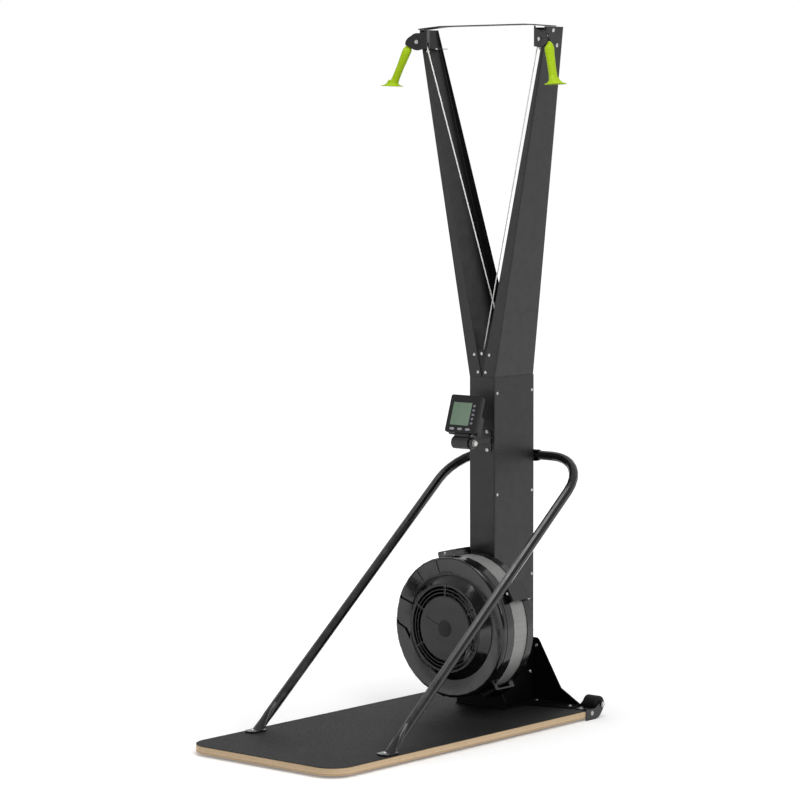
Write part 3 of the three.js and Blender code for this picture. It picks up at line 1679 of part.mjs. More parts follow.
function addMonitor() {
  place('monitor_front', monitorFront().applyMatrix4(monitorMatrix), materials.mattePlastic());
  place('monitor_back', monitorBack(), materials.mattePlastic());
  const screen = box(
    -screenLeft + clearance, -screenLeft + screenWidth - clearance,
    screenRecess, screenDepth - clearance,
    screenBottom + clearance, screenBottom + screenHeight - clearance,
  );
  place('monitor_screen', screen.applyMatrix4(monitorMatrix), materials.display());
  sideKeys().forEach((at, k) => {
    const key = ellipsePrism(at, sideKeyHalfWidth, sideKeyHalfHeight, -keyRise, keyDepth);
    place(`key_side_${k + 1}`, join(key.applyMatrix4(monitorMatrix)), materials.key());
  });
  lowKeys().forEach((at, k) => {
    const key = ellipsePrism(at, lowKeyHalfWidth, lowKeyHalfHeight, -keyRise, keyDepth);
    place(`key_low_${k + 1}`, join(key.applyMatrix4(monitorMatrix)), materials.key());
  });
}

addDeck();
addBase();
addGussets();
addColumn();
addArms();
addJointPlate();
addRoller('cord_roller_right', rightRoller);
addRoller('cord_roller_left', leftRoller);
addStrap();
addPulleyHeads();
addHandles();
addCords();
addDriveTrain();
addFan();
addRearShell();
addBand();
addFrontShell();
addDamper();
addLegFrame();
addLegClamp();
addWheels();
addMonitorBracket();
addMonitorKnob();
addMonitor();

export default object;
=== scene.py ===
import bpy
import bmesh
import json
import math
from mathutils import Matrix, Vector


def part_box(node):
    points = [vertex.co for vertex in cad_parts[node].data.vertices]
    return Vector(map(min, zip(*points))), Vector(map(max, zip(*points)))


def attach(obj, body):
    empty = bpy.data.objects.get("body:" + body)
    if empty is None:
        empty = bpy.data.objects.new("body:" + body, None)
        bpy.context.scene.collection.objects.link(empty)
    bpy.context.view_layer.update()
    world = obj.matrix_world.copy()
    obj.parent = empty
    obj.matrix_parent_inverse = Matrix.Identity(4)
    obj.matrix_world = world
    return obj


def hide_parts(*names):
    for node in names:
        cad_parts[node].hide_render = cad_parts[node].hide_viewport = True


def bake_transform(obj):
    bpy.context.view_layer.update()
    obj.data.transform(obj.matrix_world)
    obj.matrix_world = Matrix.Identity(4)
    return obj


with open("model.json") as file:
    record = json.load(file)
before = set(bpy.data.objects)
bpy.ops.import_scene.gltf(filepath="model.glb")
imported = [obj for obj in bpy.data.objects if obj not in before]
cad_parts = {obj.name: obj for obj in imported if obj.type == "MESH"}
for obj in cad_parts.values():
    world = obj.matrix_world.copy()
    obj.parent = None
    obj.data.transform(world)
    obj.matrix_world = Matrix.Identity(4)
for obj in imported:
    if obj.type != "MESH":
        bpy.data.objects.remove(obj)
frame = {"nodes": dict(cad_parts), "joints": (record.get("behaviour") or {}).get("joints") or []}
NODES = frame["nodes"]
JOINTS = {joint["name"]: joint for joint in frame["joints"]}
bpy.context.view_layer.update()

SIDES = (1, -1)
UP = Vector((0, 0, 1))
FORWARD = Vector((0, -1, 0))


# Places from the model, in metres
def pivot(name):
    """Where a hinge of the model turns."""
    return Vector(JOINTS[name]["pos_m"])


def axis_of(name):
    """The line about which a hinge turns, or along which a slide runs."""
    return Vector(JOINTS[name]["axis"])


def hand(side):
    """The word that ends the names of the pieces on one side: 1 is right, -1 is left."""
    return "right" if side > 0 else "left"


column_low, column_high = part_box("column_shell")
column_side = column_high.x
column_front = column_low.y
column_rear = column_high.y
shaft_height = pivot("flywheel_spin").z
dial_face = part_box("damper_dial")[0].y
BASE_SHEET = 0.004
base_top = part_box("base_plate")[0].z + BASE_SHEET


def ahead(distance):
    """The Y of a plane that lies a distance in front of the column's back."""
    return column_rear - distance


def at(side, x, distance, height):
    """A place on the right side, or its mirror place on the left."""
    return (side * x, ahead(distance), height)


# Camera
CAMERA_PLACE = (6.1287, -7.1003, 1.8635)
CAMERA_HEADING = 40.8239
CAMERA_PITCH = 4.3576
CAMERA_ROLL = -0.1217
CAMERA_LENS = 139.662
CAMERA_SHIFT = -0.05

scene = bpy.context.scene
camera = bpy.data.objects.new("camera", bpy.data.cameras.new("camera"))
scene.collection.objects.link(camera)
scene.camera = camera
camera.location = CAMERA_PLACE
camera.rotation_euler = (
    Matrix.Rotation(math.radians(CAMERA_HEADING), 4, "Z")
    @ Matrix.Rotation(math.radians(90 - CAMERA_PITCH), 4, "X")
    @ Matrix.Rotation(math.radians(CAMERA_ROLL), 4, "Z")
).to_euler()
camera.data.sensor_width = 36
camera.data.lens = CAMERA_LENS
camera.data.shift_y = CAMERA_SHIFT
camera.data.clip_end = 100


# Node trees
class Tree:
    """Short calls for building a node tree."""

    def __init__(self, tree):
        self.tree = tree

    def add(self, kind, **values):
        """A new node. A value goes to the node's setting of that name, or else to its input."""
        node = self.tree.nodes.new(kind)
        for key, value in values.items():
            if hasattr(node, key):
                setattr(node, key, value)
            else:
                node.inputs[key.replace("_", " ")].default_value = value
        return node

    def link(self, a, b):
        self.tree.links.new(a, b)

    def spread(self, value, low, high, start=0.3, end=0.7):
        """Maps the range from start to end onto the one from low to high."""
        node = self.add("ShaderNodeMapRange", From_Min=start, From_Max=end, To_Min=low, To_Max=high)
        self.link(value, node.inputs["Value"])
        return node.outputs["Result"]

    def maths(self, operation, a, b):
        """One operation on two values. The second may be a plain number."""
        node = self.add("ShaderNodeMath", operation=operation)
        self.link(a, node.inputs[0])
        if isinstance(b, (int, float)):
            node.inputs[1].default_value = b
        else:
            self.link(b, node.inputs[1])
        return node.outputs[0]

    def seen_by(self, *rays):
        """1 for rays of either of two kinds, 0 for all others."""
        path = self.add("ShaderNodeLightPath")
        return self.maths("MAXIMUM", *(path.outputs[ray] for ray in rays))


class Surface(Tree):
    """A new material, with short calls for its node tree."""

    def __init__(self, name):
        self.material = bpy.data.materials.new(name)
        self.material.use_nodes = True
        super().__init__(self.material.node_tree)
        self.shader = self.tree.nodes["Principled BSDF"]

    def coordinates(self, scale=(1, 1, 1)):
        source = self.add("ShaderNodeTexCoord")
        mapping = self.add("ShaderNodeMapping", Scale=scale)
        self.link(source.outputs["Object"], mapping.inputs["Vector"])
        return mapping.outputs["Vector"]

    def noise(self, scale, detail=4.0, stretch=(1, 1, 1), rough=0.5):
        node = self.add("ShaderNodeTexNoise", Scale=scale, Detail=detail, Roughness=rough)
        self.link(self.coordinates(stretch), node.inputs["Vector"])
        return node.outputs["Fac"]

    def cells(self, scale, stretch=(1, 1, 1), randomness=1.0):
        """The distance to the middle of the nearest of many small cells."""
        node = self.add("ShaderNodeTexVoronoi", Scale=scale, Randomness=randomness)
        self.link(self.coordinates(stretch), node.inputs["Vector"])
        return node.outputs["Distance"]

    def colours(self, value, stops):
        """A colour for each value, from (position, colour) stops."""
        node = self.add("ShaderNodeValToRGB")
        ramp = node.color_ramp
        while len(ramp.elements) < len(stops):
            ramp.elements.new(0.5)
        for element, (position, colour) in zip(ramp.elements, stops):
            element.position = position
            element.color = (*colour, 1)
        self.link(value, node.inputs["Fac"])
        return node.outputs["Color"]

    def tinted(self, colour, tint, factor=1.0):
        """One colour multiplied by another."""
        mix = self.add("ShaderNodeMix", data_type="RGBA", blend_type="MULTIPLY")
        mix.inputs["Factor"].default_value = factor
        self.link(colour, mix.inputs["A"])
        self.link(tint, mix.inputs["B"])
        return mix.outputs["Result"]

    def paint(self, colour, roughness):
        self.link(colour, self.shader.inputs["Base Color"])
        self.link(roughness, self.shader.inputs["Roughness"])

    def bump(self, height, strength, distance):
        node = self.add("ShaderNodeBump", Strength=strength, Distance=distance)
        self.link(height, node.inputs["Height"])
        self.link(node.outputs["Normal"], self.shader.inputs["Normal"])

    def set(self, **values):
        for key, value in values.items():
            self.shader.inputs[key.replace("_", " ")].default_value = value


# Materials
def shade(colour, factor):
    return tuple(min(1.0, c * factor) for c in colour)


def grey(value):
    return (value, value, value)


def coated(name, colour, rough, specular, grain, depth, mottle):
    """A painted or moulded surface: fine grain, soft mottling and uneven gloss."""
    m = Surface(name)
    tone = m.colours(m.noise(9, 5), [(0.3, shade(colour, 1 - mottle)), (0.7, shade(colour, 1 + mottle))])
    m.paint(tone, m.spread(m.noise(35, 6), rough - 0.06, rough + 0.08))
    m.bump(m.noise(grain, 3), depth, 0.0004)
    m.set(Specular_IOR_Level=specular)
    return m.material


def plywood():
    """Birch ply seen on its edge: thin veneers one above the other, each with its own grain."""
    m = Surface("plywood")
    veneer_thickness = 0.0025
    source = m.add("ShaderNodeTexCoord")
    split = m.add("ShaderNodeSeparateXYZ")
    m.link(source.outputs["Object"], split.inputs[0])
    height = m.maths("MULTIPLY", split.outputs["Z"], 1 / veneer_thickness)
    wavy_height = m.maths("ADD", height, m.spread(m.noise(6, 2), -0.2, 0.2, 0.0, 1.0))
    layer = m.add("ShaderNodeMath", operation="FLOOR")
    m.link(wavy_height, layer.inputs[0])
    vary = m.add("ShaderNodeTexWhiteNoise", noise_dimensions="1D")
    m.link(layer.outputs[0], vary.inputs["W"])
    veneer = m.colours(vary.outputs["Value"], [
        (0.0, (0.46, 0.31, 0.18)),
        (0.3, (0.60, 0.44, 0.27)),
        (1.0, (0.72, 0.55, 0.36)),
    ])
    grain = m.colours(m.noise(60, 8, (1, 1, 14), 0.65), [(0.35, (0.80, 0.76, 0.70)), (0.65, grey(1.0))])
    m.paint(m.tinted(veneer, grain, 0.8), m.spread(m.noise(80, 5), 0.45, 0.65))
    m.bump(m.noise(260, 5, (1, 1, 6)), 0.2, 0.0003)
    m.set(Specular_IOR_Level=0.35)
    return m.material


def gritty():
    """The deck's non-slip sheet: dark, with pale specks of grit."""
    m = Surface("deck_grip")
    grit = m.colours(m.cells(420.0), [
        (0.0, (0.050, 0.050, 0.048)),
        (0.22, grey(0.014)),
        (1.0, grey(0.006)),
    ])
    wear = m.colours(m.noise(3.2, 6, (1, 1, 1), 0.6), [(0.35, grey(0.72)), (0.68, (1.3, 1.3, 1.28))])
    m.paint(m.tinted(grit, wear), m.spread(m.noise(300, 4), 0.5, 0.7))
    m.bump(m.noise(700, 6, (1, 1, 1), 0.7), 0.3, 0.0005)
    m.set(Specular_IOR_Level=0.17)
    return m.material


def perforated():
    """The housing's grey band: thin satin sheet with rows of very fine holes."""
    m = Surface("perforated_band")
    holes = m.cells(640.0, randomness=0.1)
    tone = m.colours(holes, [
        (0.0, grey(0.16)),
        (0.2, (0.19, 0.19, 0.185)),
        (0.35, (0.265, 0.265, 0.26)),
        (1.0, (0.285, 0.285, 0.28)),
    ])
    haze = m.colours(m.noise(7, 3), [(0.3, grey(0.94)), (0.7, grey(1.05))])
    m.paint(m.tinted(tone, haze), m.spread(m.noise(40, 4), 0.38, 0.5))
    m.bump(holes, 0.12, 0.0003)
    m.set(Metallic=0.25)
    return m.material


def brushed(name, colour, rough, stretch=(1, 1, 30)):
    """Bare metal with fine lines across its stretch."""
    m = Surface(name)
    lines = m.noise(120, 6, stretch, 0.7)
    tone = m.colours(lines, [(0.3, shade(colour, 0.8)), (0.7, shade(colour, 1.12))])
    m.paint(tone, m.spread(lines, rough - 0.08, rough + 0.12))
    m.bump(lines, 0.12, 0.0002)
    m.set(Metallic=1.0)
    return m.material


def braided():
    """A pale braided cord."""
    m = Surface("cord")
    weave = m.cells(900.0, (1, 1, 0.5))
    tone = m.colours(weave, [(0.0, (0.93, 0.93, 0.92)), (0.8, (0.84, 0.84, 0.83))])
    m.paint(tone, m.spread(m.noise(500, 3), 0.7, 0.9))
    m.bump(weave, 0.15, 0.0003)
    return m.material


def display():
    """A grey-green liquid-crystal panel under a clear cover, with its faint grid of dots."""
    m = Surface("display")
    dark, light = (0.088, 0.158, 0.098, 1), (0.100, 0.178, 0.110, 1)
    grid = m.add("ShaderNodeTexChecker", Scale=2600.0, Color1=dark, Color2=light)
    m.link(m.coordinates(), grid.inputs["Vector"])
    haze = m.colours(m.noise(14, 3), [(0.3, (0.92, 0.95, 0.92)), (0.7, (1.08, 1.06, 1.06))])
    m.paint(m.tinted(grid.outputs["Color"], haze), m.spread(m.noise(60, 3), 0.14, 0.24))
    m.bump(m.noise(900, 2), 0.05, 0.0001)
    m.set(Coat_Weight=0.3, Coat_Roughness=0.12)
    return m.material


powder = coated(
    "powder_coat", (0.0065, 0.0065, 0.0064), rough=0.40, specular=0.42, grain=1500, depth=0.12, mottle=0.1
)
# Black steel of the base plate and gusset, darker and duller than plate_steel: partly its own black finish,
# partly painted shadow of the flywheel housing above it.
black_steel = coated(
    "black_steel", grey(0.0022), rough=0.45, specular=0.11, grain=1300, depth=0.15, mottle=0.3
)
plate_steel = coated(
    "plate_steel", grey(0.004), rough=0.45, specular=0.3, grain=1300, depth=0.2, mottle=0.3
)
tube_paint = coated(
    "tube_paint", (0.0045, 0.0045, 0.0047), rough=0.2, specular=0.52, grain=1500, depth=0.01, mottle=0.12
)
shell = coated(
    "shell_plastic", (0.004, 0.004, 0.0042), rough=0.13, specular=0.58, grain=300, depth=0.004, mottle=0.1
)
dial_plastic = coated(
    "dial_plastic", (0.015, 0.015, 0.0152), rough=0.4, specular=0.5, grain=900, depth=0.1, mottle=0.12
)
dark_plastic = coated(
    "dark_plastic", (0.005, 0.005, 0.0053), rough=0.38, specular=0.45, grain=1600, depth=0.12, mottle=0.2
)
bezel_plastic = coated(
    "bezel_plastic", (0.0035, 0.0035, 0.0038), rough=0.42, specular=0.26, grain=1600, depth=0.08, mottle=0.2
)
grille_plastic = coated(
    "grille_plastic", grey(0.003), rough=0.5, specular=0.35, grain=1200, depth=0.1, mottle=0.2
)
lime = coated(
    "lime_grip", (0.335, 0.50, 0.004), rough=0.55, specular=0.2, grain=350, depth=0.02, mottle=0.05
)
rubber = coated(
    "rubber", grey(0.007), rough=0.7, specular=0.25, grain=700, depth=0.4, mottle=0.3
)
foot_rubber = coated(
    "foot_rubber", grey(0.0025), rough=0.8, specular=0.1, grain=700, depth=0.4, mottle=0.3
)
key_rubber = coated(
    "key_rubber", (0.17, 0.17, 0.20), rough=0.6, specular=0.4, grain=1500, depth=0.2, mottle=0.12
)
low_key_rubber = coated(
    "low_key_rubber", (0.28, 0.28, 0.30), rough=0.6, specular=0.4, grain=1500, depth=0.2, mottle=0.12
)
steel = brushed("steel", (0.62, 0.62, 0.61), 0.28)
fan_metal = brushed("fan_metal", grey(0.42), 0.42, (1, 30, 1))
cord = braided()


# The model's own pieces: new materials, eased edges and even shading
def smooth_group():
    group = bpy.data.node_groups.new("smooth_shading", "GeometryNodeTree")
    group.interface.new_socket("Geometry", in_out="INPUT", socket_type="NodeSocketGeometry")
    group.interface.new_socket("Geometry", in_out="OUTPUT", socket_type="NodeSocketGeometry")
    source = group.nodes.new("NodeGroupInput")
    smooth = group.nodes.new("GeometryNodeSetShadeSmooth")
    target = group.nodes.new("NodeGroupOutput")
    group.links.new(source.outputs[0], smooth.inputs["Geometry"])
    group.links.new(smooth.outputs[0], target.inputs[0])
    return group


SMOOTH = smooth_group()


def ease(obj, width, segments=2, angle=32):
    """Rounds an object's edges by a width, which may be nothing, and evens its shading."""
    weld = obj.modifiers.new("weld", "WELD")
    weld.merge_threshold = 2e-5
    if width:
        bevel = obj.modifiers.new("edges", "BEVEL")
        bevel.width = width
        bevel.segments = segments
        bevel.limit_method = "ANGLE"
        bevel.angle_limit = math.radians(angle)
        bevel.use_clamp_overlap = True
    obj.modifiers.new("smooth", "NODES").node_group = SMOOTH
    even = obj.modifiers.new("normals", "WEIGHTED_NORMAL")
    even.keep_sharp = False
    even.weight = 60


def dress(names, material, width=0.0006, segments=2, angle=32):
    """Gives nodes a material and eased edges. A name also stands for its right and left forms."""
    for name in names.split():
        for found in sorted(n for n in NODES if n in (name, f"{name}_right", f"{name}_left")):
            obj = NODES[found]
            obj.data.materials.clear()
            obj.data.materials.append(material)
            ease(obj, width, segments, angle)


dress("deck_board", plywood(), 0.0045, 3)
dress("deck_grip", gritty(), 0.0005)
dress("deck_foot", foot_rubber, 0.001)
# The base plate and gusset: black steel that also carries painted shadow of the housing over them.
dress("base_plate base_gusset", black_steel)
dress("joint_plate_front top_strap leg_clamp", plate_steel)
dress("wheel_bracket", tube_paint)
dress("pulley_bracket", powder, 0.0004)
dress("column_shell column_back arm", powder, 0.0005)
dress("leg_frame", tube_paint, 0.0008)
dress("housing_rear housing_front", shell, 0.0011, 3, 34)
dress("damper_dial", dial_plastic, 0.0007, 2, 34)
dress("intake_grille", grille_plastic, 0)
dress("housing_band", perforated(), 0)
dress("pulley_axle flywheel_shaft bearing_front bearing_rear", steel, 0.0003)
dress("flywheel_fan", fan_metal, 0)
dress("cord_drum", dark_plastic, 0.0003)
dress("cord_roller pulley monitor_bracket monitor_knob monitor_back", dark_plastic, 0.0007)
dress("monitor_front", bezel_plastic, 0.0012)
dress("monitor_screen", display(), 0.0002)
dress("handle", lime, 0)
dress("drive_cord", cord, 0)
dress("wheel", rubber, 0.001)
dress("key_side_1 key_side_2 key_side_3 key_side_4 key_side_5", key_rubber, 0.0008)
dress("key_low_1 key_low_2 key_low_3", low_key_rubber, 0.0008)


# New pieces
def make(name, mesh_maker, material, body):
    """A new piece. It rides on a body, if one is given."""
    bm = bmesh.new()
    mesh_maker(bm)
    bmesh.ops.recalc_face_normals(bm, faces=bm.faces)
    mesh = bpy.data.meshes.new(name)
    bm.to_mesh(mesh)
    bm.free()
    obj = bpy.data.objects.new(name, mesh)
    scene.collection.objects.link(obj)
    mesh.materials.append(material)
    ease(obj, 0)
    if body:
        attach(obj, body)
    return obj


def towards(point, normal):
    """A placement with its Z along the normal."""
    turn = Vector(normal).normalized().to_track_quat("Z", "Y").to_matrix().to_4x4()
    return Matrix.Translation(Vector(point)) @ turn


def skin(bm, loops):
    """A closed body over a row of loops of points."""
    for low, high in zip(loops, loops[1:]):
        for k in range(len(low)):
            n = (k + 1) % len(low)
            bm.faces.new((low[k], low[n], high[n], high[k]))
    bm.faces.new(loops[0][::-1])
    bm.faces.new(loops[-1])


def ring(bm, place, radius, height, sides):
    """A round of points about a placement's Z."""
    loop = []
    for k in range(sides):
        angle = 2 * math.pi * k / sides
        point = Vector((radius * math.cos(angle), radius * math.sin(angle), height))
        loop.append(bm.verts.new(place @ point))
    return loop


def stack(bm, place, rings, sides):
    """A closed turned body from (radius, height) rings."""
    skin(bm, [ring(bm, place, radius, height, sides) for radius, height in rings])


def screw(bm, point, normal, radius=0.0045, height=0.003):
    """A button-head screw with its washer and its socket."""
    place = towards(point, normal)
    r, h = radius, height
    washer = [(1.35 * r, 0), (1.35 * r, 0.25 * h), (r, 0.26 * h)]
    head = [(r, 0.2 * h), (r, 0.55 * h), (0.88 * r, 0.82 * h), (0.62 * r, h)]
    socket = [(0.52 * r, h), (0.5 * r, 0.45 * h)]
    stack(bm, place, washer, 20)
    stack(bm, place, head + socket, 18)


def hex_nut(bm, point, normal, radius=0.006, height=0.004):
    """A hexagonal nut on its washer."""
    place = towards(point, normal)
    r, h = radius, height
    stack(bm, place, [(1.35 * r, 0), (1.35 * r, 0.2 * h)], 20)
    stack(bm, place, [(0.93 * r, 0.15 * h), (r, 0.3 * h), (r, 0.85 * h), (0.9 * r, h)], 6)


# Fasteners of the frame. A place is (x, distance in front of the column's back, height)
SHEET_SCREW = (0.0034, 0.0024)
COLUMN_SCREW_HEIGHTS = (1.0235, 0.705, 0.438, 0.126)
COLUMN_SCREW_ROWS = (0.182, 0.009)
JOINT_SCREWS = ((-0.030, 1.1425), (0.0, 1.146), (0.030, 1.1425), (-0.015, 1.088), (0.015, 1.088))
MONITOR_BRACKET_SCREWS = ((-0.024, 0.903), (0.024, 0.903), (0.024, 0.8454))
MONITOR_BRACKET_FACE = 0.2003
ARM_LEAN = 0.189
ARM_SCREWS = ((0.2535, 0.161, 2.147), (0.2450, 0.132, 2.102))
LIP_NUT_BELOW = (0.2262, 0.1885, 2.0929)
LIP_NUT_ABOVE = (0.2175, 0.160, 2.0955)
LEG_FOOT_SCREW = (0.265, 0.966, 0.0368)
GUSSET_WING_SCREW = (0.068, 0.006, 0.209)
GUSSET_CHEEK_SCREW = (0.054, 0.020, 0.126)
BASE_SCREWS = ((0.0794, 0.018, base_top), (0.2224, 0.030, base_top))
WHEEL_BRACKET_SCREW = (0.3018, 0.020, 0.0208)


def column_screws(bm):
    for z in COLUMN_SCREW_HEIGHTS:
        for row in COLUMN_SCREW_ROWS:
            for side in SIDES:
                screw(bm, (side * column_side, ahead(row), z), (side, 0, 0), *SHEET_SCREW)
    for x, z in JOINT_SCREWS:
        screw(bm, (x, column_front, z), FORWARD, *SHEET_SCREW)
    for x, z in MONITOR_BRACKET_SCREWS:
        screw(bm, (x, ahead(MONITOR_BRACKET_FACE), z), FORWARD, 0.0042)


def head_fasteners(bm, side):
    """Two screws through the arm's side, and the nuts on the pulley bracket's lip."""
    for place in ARM_SCREWS:
        screw(bm, at(side, *place), (side, 0, -ARM_LEAN))
    hex_nut(bm, at(side, *LIP_NUT_BELOW), -UP, 0.0062, 0.0065)
    hex_nut(bm, at(side, *LIP_NUT_ABOVE), UP, 0.0055, 0.0045)


def base_screws(bm, side):
    """Screws of the leg's foot, the gusset, the base plate and the wheel's bracket."""
    screw(bm, at(side, *LEG_FOOT_SCREW), UP, 0.0055, 0.004)
    screw(bm, at(side, *GUSSET_WING_SCREW), FORWARD, 0.005)
    screw(bm, at(side, *GUSSET_CHEEK_SCREW), (side, 0, 0))
    for place in BASE_SCREWS:
        screw(bm, at(side, *place), UP, 0.005)
    screw(bm, at(side, *WHEEL_BRACKET_SCREW), (side, 0, 0), 0.005)


def frame_screws(bm):
    column_screws(bm)
    for side in SIDES:
        head_fasteners(bm, side)
        base_screws(bm, side)


make("frame_screws", frame_screws, steel, "frame")

LUG_ANGLES = (31.5, 103.5, 175.5, 247.5)
LUG_CIRCLE = 0.229
LUG_FACE = 0.3125


def lug_screws(bm):
    """The screws that clamp the housing's halves at its lugs."""
    for angle in map(math.radians, LUG_ANGLES):
        height = shaft_height + LUG_CIRCLE * math.sin(angle)
        screw(bm, (LUG_CIRCLE * math.cos(angle), ahead(LUG_FACE), height), FORWARD, 0.0034)


make("lug_screws", lug_screws, steel, "frame")


def knob_bolt(bm):
    """The hinge bolt's nut in the knob's recess, over the bolt's end."""
    place = towards(pivot("knob_turn"), axis_of("knob_turn"))
    washer = [(0.0104, 0), (0.0104, 0.0012), (0.0098, 0.0014)]
    nut = [(0.0086, 0.001), (0.0092, 0.0022), (0.0092, 0.0072), (0.0083, 0.0088)]
    bolt = [(0.0062, 0.008), (0.0062, 0.0096), (0.0048, 0.0102)]
    stack(bm, place, washer, 28)
    stack(bm, place, nut, 6)
    stack(bm, place, bolt, 24)


make("knob_bolt", knob_bolt, steel, "knob")


def axle_nuts(bm):
    for side in SIDES:
        bracket_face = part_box("wheel_bracket_right")[1].x
        axle = pivot("wheel_spin_right")
        hex_nut(bm, (side * bracket_face, axle.y, axle.z), (side, 0, 0))


make("axle_nuts", axle_nuts, steel, "frame")

# Cords and handles
CORD_RADIUS = 0.002
CORD_TAIL_LENGTH = 0.016
CORD_TAIL_RINGS = 25
GRIP_END = (0.3267, 0.3371, 1.9838)
GRIP_END_NORMAL = (0.04, 0, -1)


def cord_tail(side):
    """The stretch of cord between the pulley and the handle."""
    down = axis_of(f"pull_{hand(side)}")
    end = pivot(f"handle_swing_{hand(side)}")
    start = end - down * CORD_TAIL_LENGTH

    def tube(bm):
        points = [start.lerp(end, k / (CORD_TAIL_RINGS - 1)) for k in range(CORD_TAIL_RINGS)]
        skin(bm, [ring(bm, towards(point, -down), CORD_RADIUS, 0, 12) for point in points])

    obj = make(f"cord_tail_{hand(side)}", tube, cord, None)
    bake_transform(obj)
    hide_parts(f"cord_end_{hand(side)}")


def handle_trim(side):
    """The black ferrule with the ball on which the handle swings, and the plug under its flange."""
    top = towards(pivot(f"handle_swing_{hand(side)}"), -axis_of(f"pull_{hand(side)}"))
    x, y, z = GRIP_END
    nx, ny, nz = GRIP_END_NORMAL
    bottom = towards((side * x, y, z), (side * nx, ny, nz))
    ball = [(0.0006, -0.00221), (0.0014, -0.00181), (0.0020, -0.00111), (0.00225, -0.0004), (0.0024, 0.0)]
    collar = [(0.0046, 0.0004), (0.0060, 0.0012), (0.0064, 0.0038), (0.0058, 0.0066), (0.0042, 0.0092)]
    neck = [(0.0034, 0.0125), (0.0030, 0.0140)]
    disc = [(0.0295, 0), (0.0300, 0.0010), (0.0285, 0.0022), (0.0120, 0.0022), (0.0105, 0.0014)]

    def ferrule(bm):
        stack(bm, top, ball + collar + neck, 28)

    def plug(bm):
        stack(bm, bottom, disc, 40)

    make(f"ferrule_{hand(side)}", ferrule, rubber, f"cord_end_{hand(side)}")
    make(f"handle_plug_{hand(side)}", plug, rubber, f"handle_{hand(side)}")


# The lip over a pulley lies just outside the cord
LIP_INSIDE = 0.0271
LIP_OUTSIDE = 0.0278
LIP_FRONT = 0.0112
LIP_REAR = -0.0045
LIP_ANGLES = range(25, 98, 6)


def cord_guard(side):
    """A thin black lip from the cheek over the pulley, which keeps the cord in its groove."""
    centre = pivot(f"pulley_spin_{hand(side)}")
    axis = axis_of(f"pulley_spin_{hand(side)}")
    out = axis.cross(UP) * -side
    corners = (
        (LIP_INSIDE, LIP_FRONT),
        (LIP_OUTSIDE, LIP_FRONT),
        (LIP_OUTSIDE, LIP_REAR),
        (LIP_INSIDE, LIP_REAR),
    )

    def lip(bm):
        loops = []
        for angle in map(math.radians, LIP_ANGLES):
            away = out * math.cos(angle) + UP * math.sin(angle)
            loops.append([bm.verts.new(centre + away * radius + axis * reach) for radius, reach in corners])
        skin(bm, loops)

    make(f"cord_guard_{hand(side)}", lip, powder, "frame")


for new_piece in (cord_tail, handle_trim, cord_guard):
    for side in SIDES:
        new_piece(side)

# Trim of the damper's dial, and painted shade in its pointer groove: the back of each lies a little inside
# the dial's face
TRIM_SINK = 0.0002
POINTER_ANGLE = 158
POINTER_START = 0.0275
POINTER_END = 0.080


def hub_badge(bm):
    """A plain domed cap at the middle of the damper dial."""
    dome = [(0.0262, 0), (0.0262, 0.0006), (0.0254, 0.0013), (0.0180, 0.0018), (0.0070, 0.0021)]
    stack(bm, towards((0, dial_face + TRIM_SINK, shaft_height), FORWARD), dome, 56)


def pointer_groove_shade(bm):
    """Painted shade of the dial's pointer groove: a dark strip over the groove, which narrows towards the
    rim.
    """
    corners = ((1.9, POINTER_START), (-1.9, POINTER_START), (-0.7, POINTER_END), (0.7, POINTER_END))
    loops = []
    for y in (dial_face + TRIM_SINK, dial_face - TRIM_SINK):
        loop = []
        for turn, radius in corners:
            angle = math.radians(POINTER_ANGLE + turn)
            height = shaft_height + radius * math.sin(angle)
            loop.append(bm.verts.new((radius * math.cos(angle), y, height)))
        loops.append(loop)
    skin(bm, loops)


make("hub_badge", hub_badge, grille_plastic, "damper")
# A dark strip of painted shade in the pointer groove.
make("pointer_groove_shade", pointer_groove_shade, foot_rubber, "damper")


# Floor, background and light
def stage_material():
    """A pale floor that keeps the object's shadow and fades to white away from it."""
    m = Surface("floor")
    seen = m.seen_by("Is Camera Ray", "Is Glossy Ray")
    tone = m.colours(m.noise(0.8, 3), [(0.3, grey(0.90)), (0.7, grey(0.92))])
    m.link(tone, m.shader.inputs["Base Color"])
    place = m.add("ShaderNodeNewGeometry")
    away = m.add("ShaderNodeVectorMath", operation="LENGTH")
    m.link(place.outputs["Position"], away.inputs[0])
    glow = m.maths("MULTIPLY", seen, m.spread(away.outputs["Value"], 0.14, 0.62, 0.4, 2.3))
    m.link(glow, m.shader.inputs["Emission Strength"])
    m.set(Roughness=1.0, Specular_IOR_Level=0.0, Emission_Color=(1, 1, 1, 1))
    return m.material


def floor(bm):
    bmesh.ops.create_grid(bm, x_segments=4, y_segments=4, size=60)


ground = make("floor", floor, stage_material(), None)

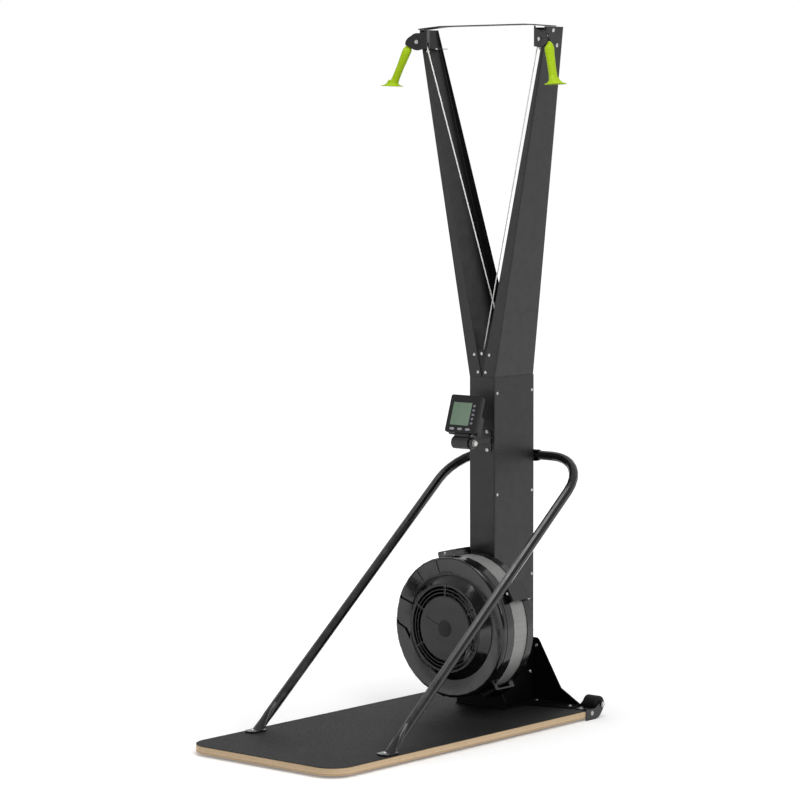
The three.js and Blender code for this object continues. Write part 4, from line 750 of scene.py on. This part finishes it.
# The way to the room's dark side, which dark gloss reflects
DARK_SIDE = (0.64, -0.74, 0.2)


def studio_world():
    """White where the camera looks. The room is pale, but darker above and on one side."""
    world = bpy.data.worlds.new("world")
    scene.world = world
    world.use_nodes = True
    t = Tree(world.node_tree)
    background = t.tree.nodes["Background"]
    background.inputs["Color"].default_value = (1, 1, 1, 1)
    seen = t.seen_by("Is Camera Ray", "Is Transmission Ray")
    sky = t.add("ShaderNodeTexCoord").outputs["Generated"]
    split = t.add("ShaderNodeSeparateXYZ")
    t.link(sky, split.inputs[0])
    across = t.add("ShaderNodeVectorMath", operation="DOT_PRODUCT")
    across.inputs[1].default_value = DARK_SIDE
    t.link(sky, across.inputs[0])
    behind = t.spread(split.outputs["Y"], 0.80, 1.05, -0.9, 0.9)
    overhead = t.spread(split.outputs["Z"], 1.0, 0.55, 0.0, 1.0)
    dark_side = t.spread(across.outputs["Value"], 1.0, 0.15, 0.3, 0.9)
    room = t.maths("MULTIPLY", t.maths("MULTIPLY", behind, overhead), dark_side)
    strength = t.add("ShaderNodeMix", data_type="FLOAT")
    strength.inputs["B"].default_value = 1.0
    t.link(seen, strength.inputs["Factor"])
    t.link(room, strength.inputs["A"])
    t.link(strength.outputs["Result"], background.inputs["Strength"])


studio_world()


def lamp(name, place, target, size, power):
    """A rectangular soft light that faces its target."""
    light = bpy.data.lights.new(name, "AREA")
    light.shape = "RECTANGLE"
    light.size, light.size_y = size
    light.energy = power
    obj = bpy.data.objects.new(name, light)
    scene.collection.objects.link(obj)
    obj.location = place
    obj.rotation_euler = (Vector(target) - Vector(place)).to_track_quat("-Z", "Y").to_euler()


lamp("key", place=(4.4, -1.6, 3.4), target=(0, 0.1, 1.0), size=(2.2, 3.0), power=95)
lamp("fill", place=(-2.8, -4.4, 2.6), target=(0, 0.1, 0.8), size=(2.4, 3.0), power=25)
lamp("top", place=(0.5, -0.6, 5.2), target=(0, 0, 0), size=(1.8, 2.6), power=80)

scene.view_settings.view_transform = "Standard"
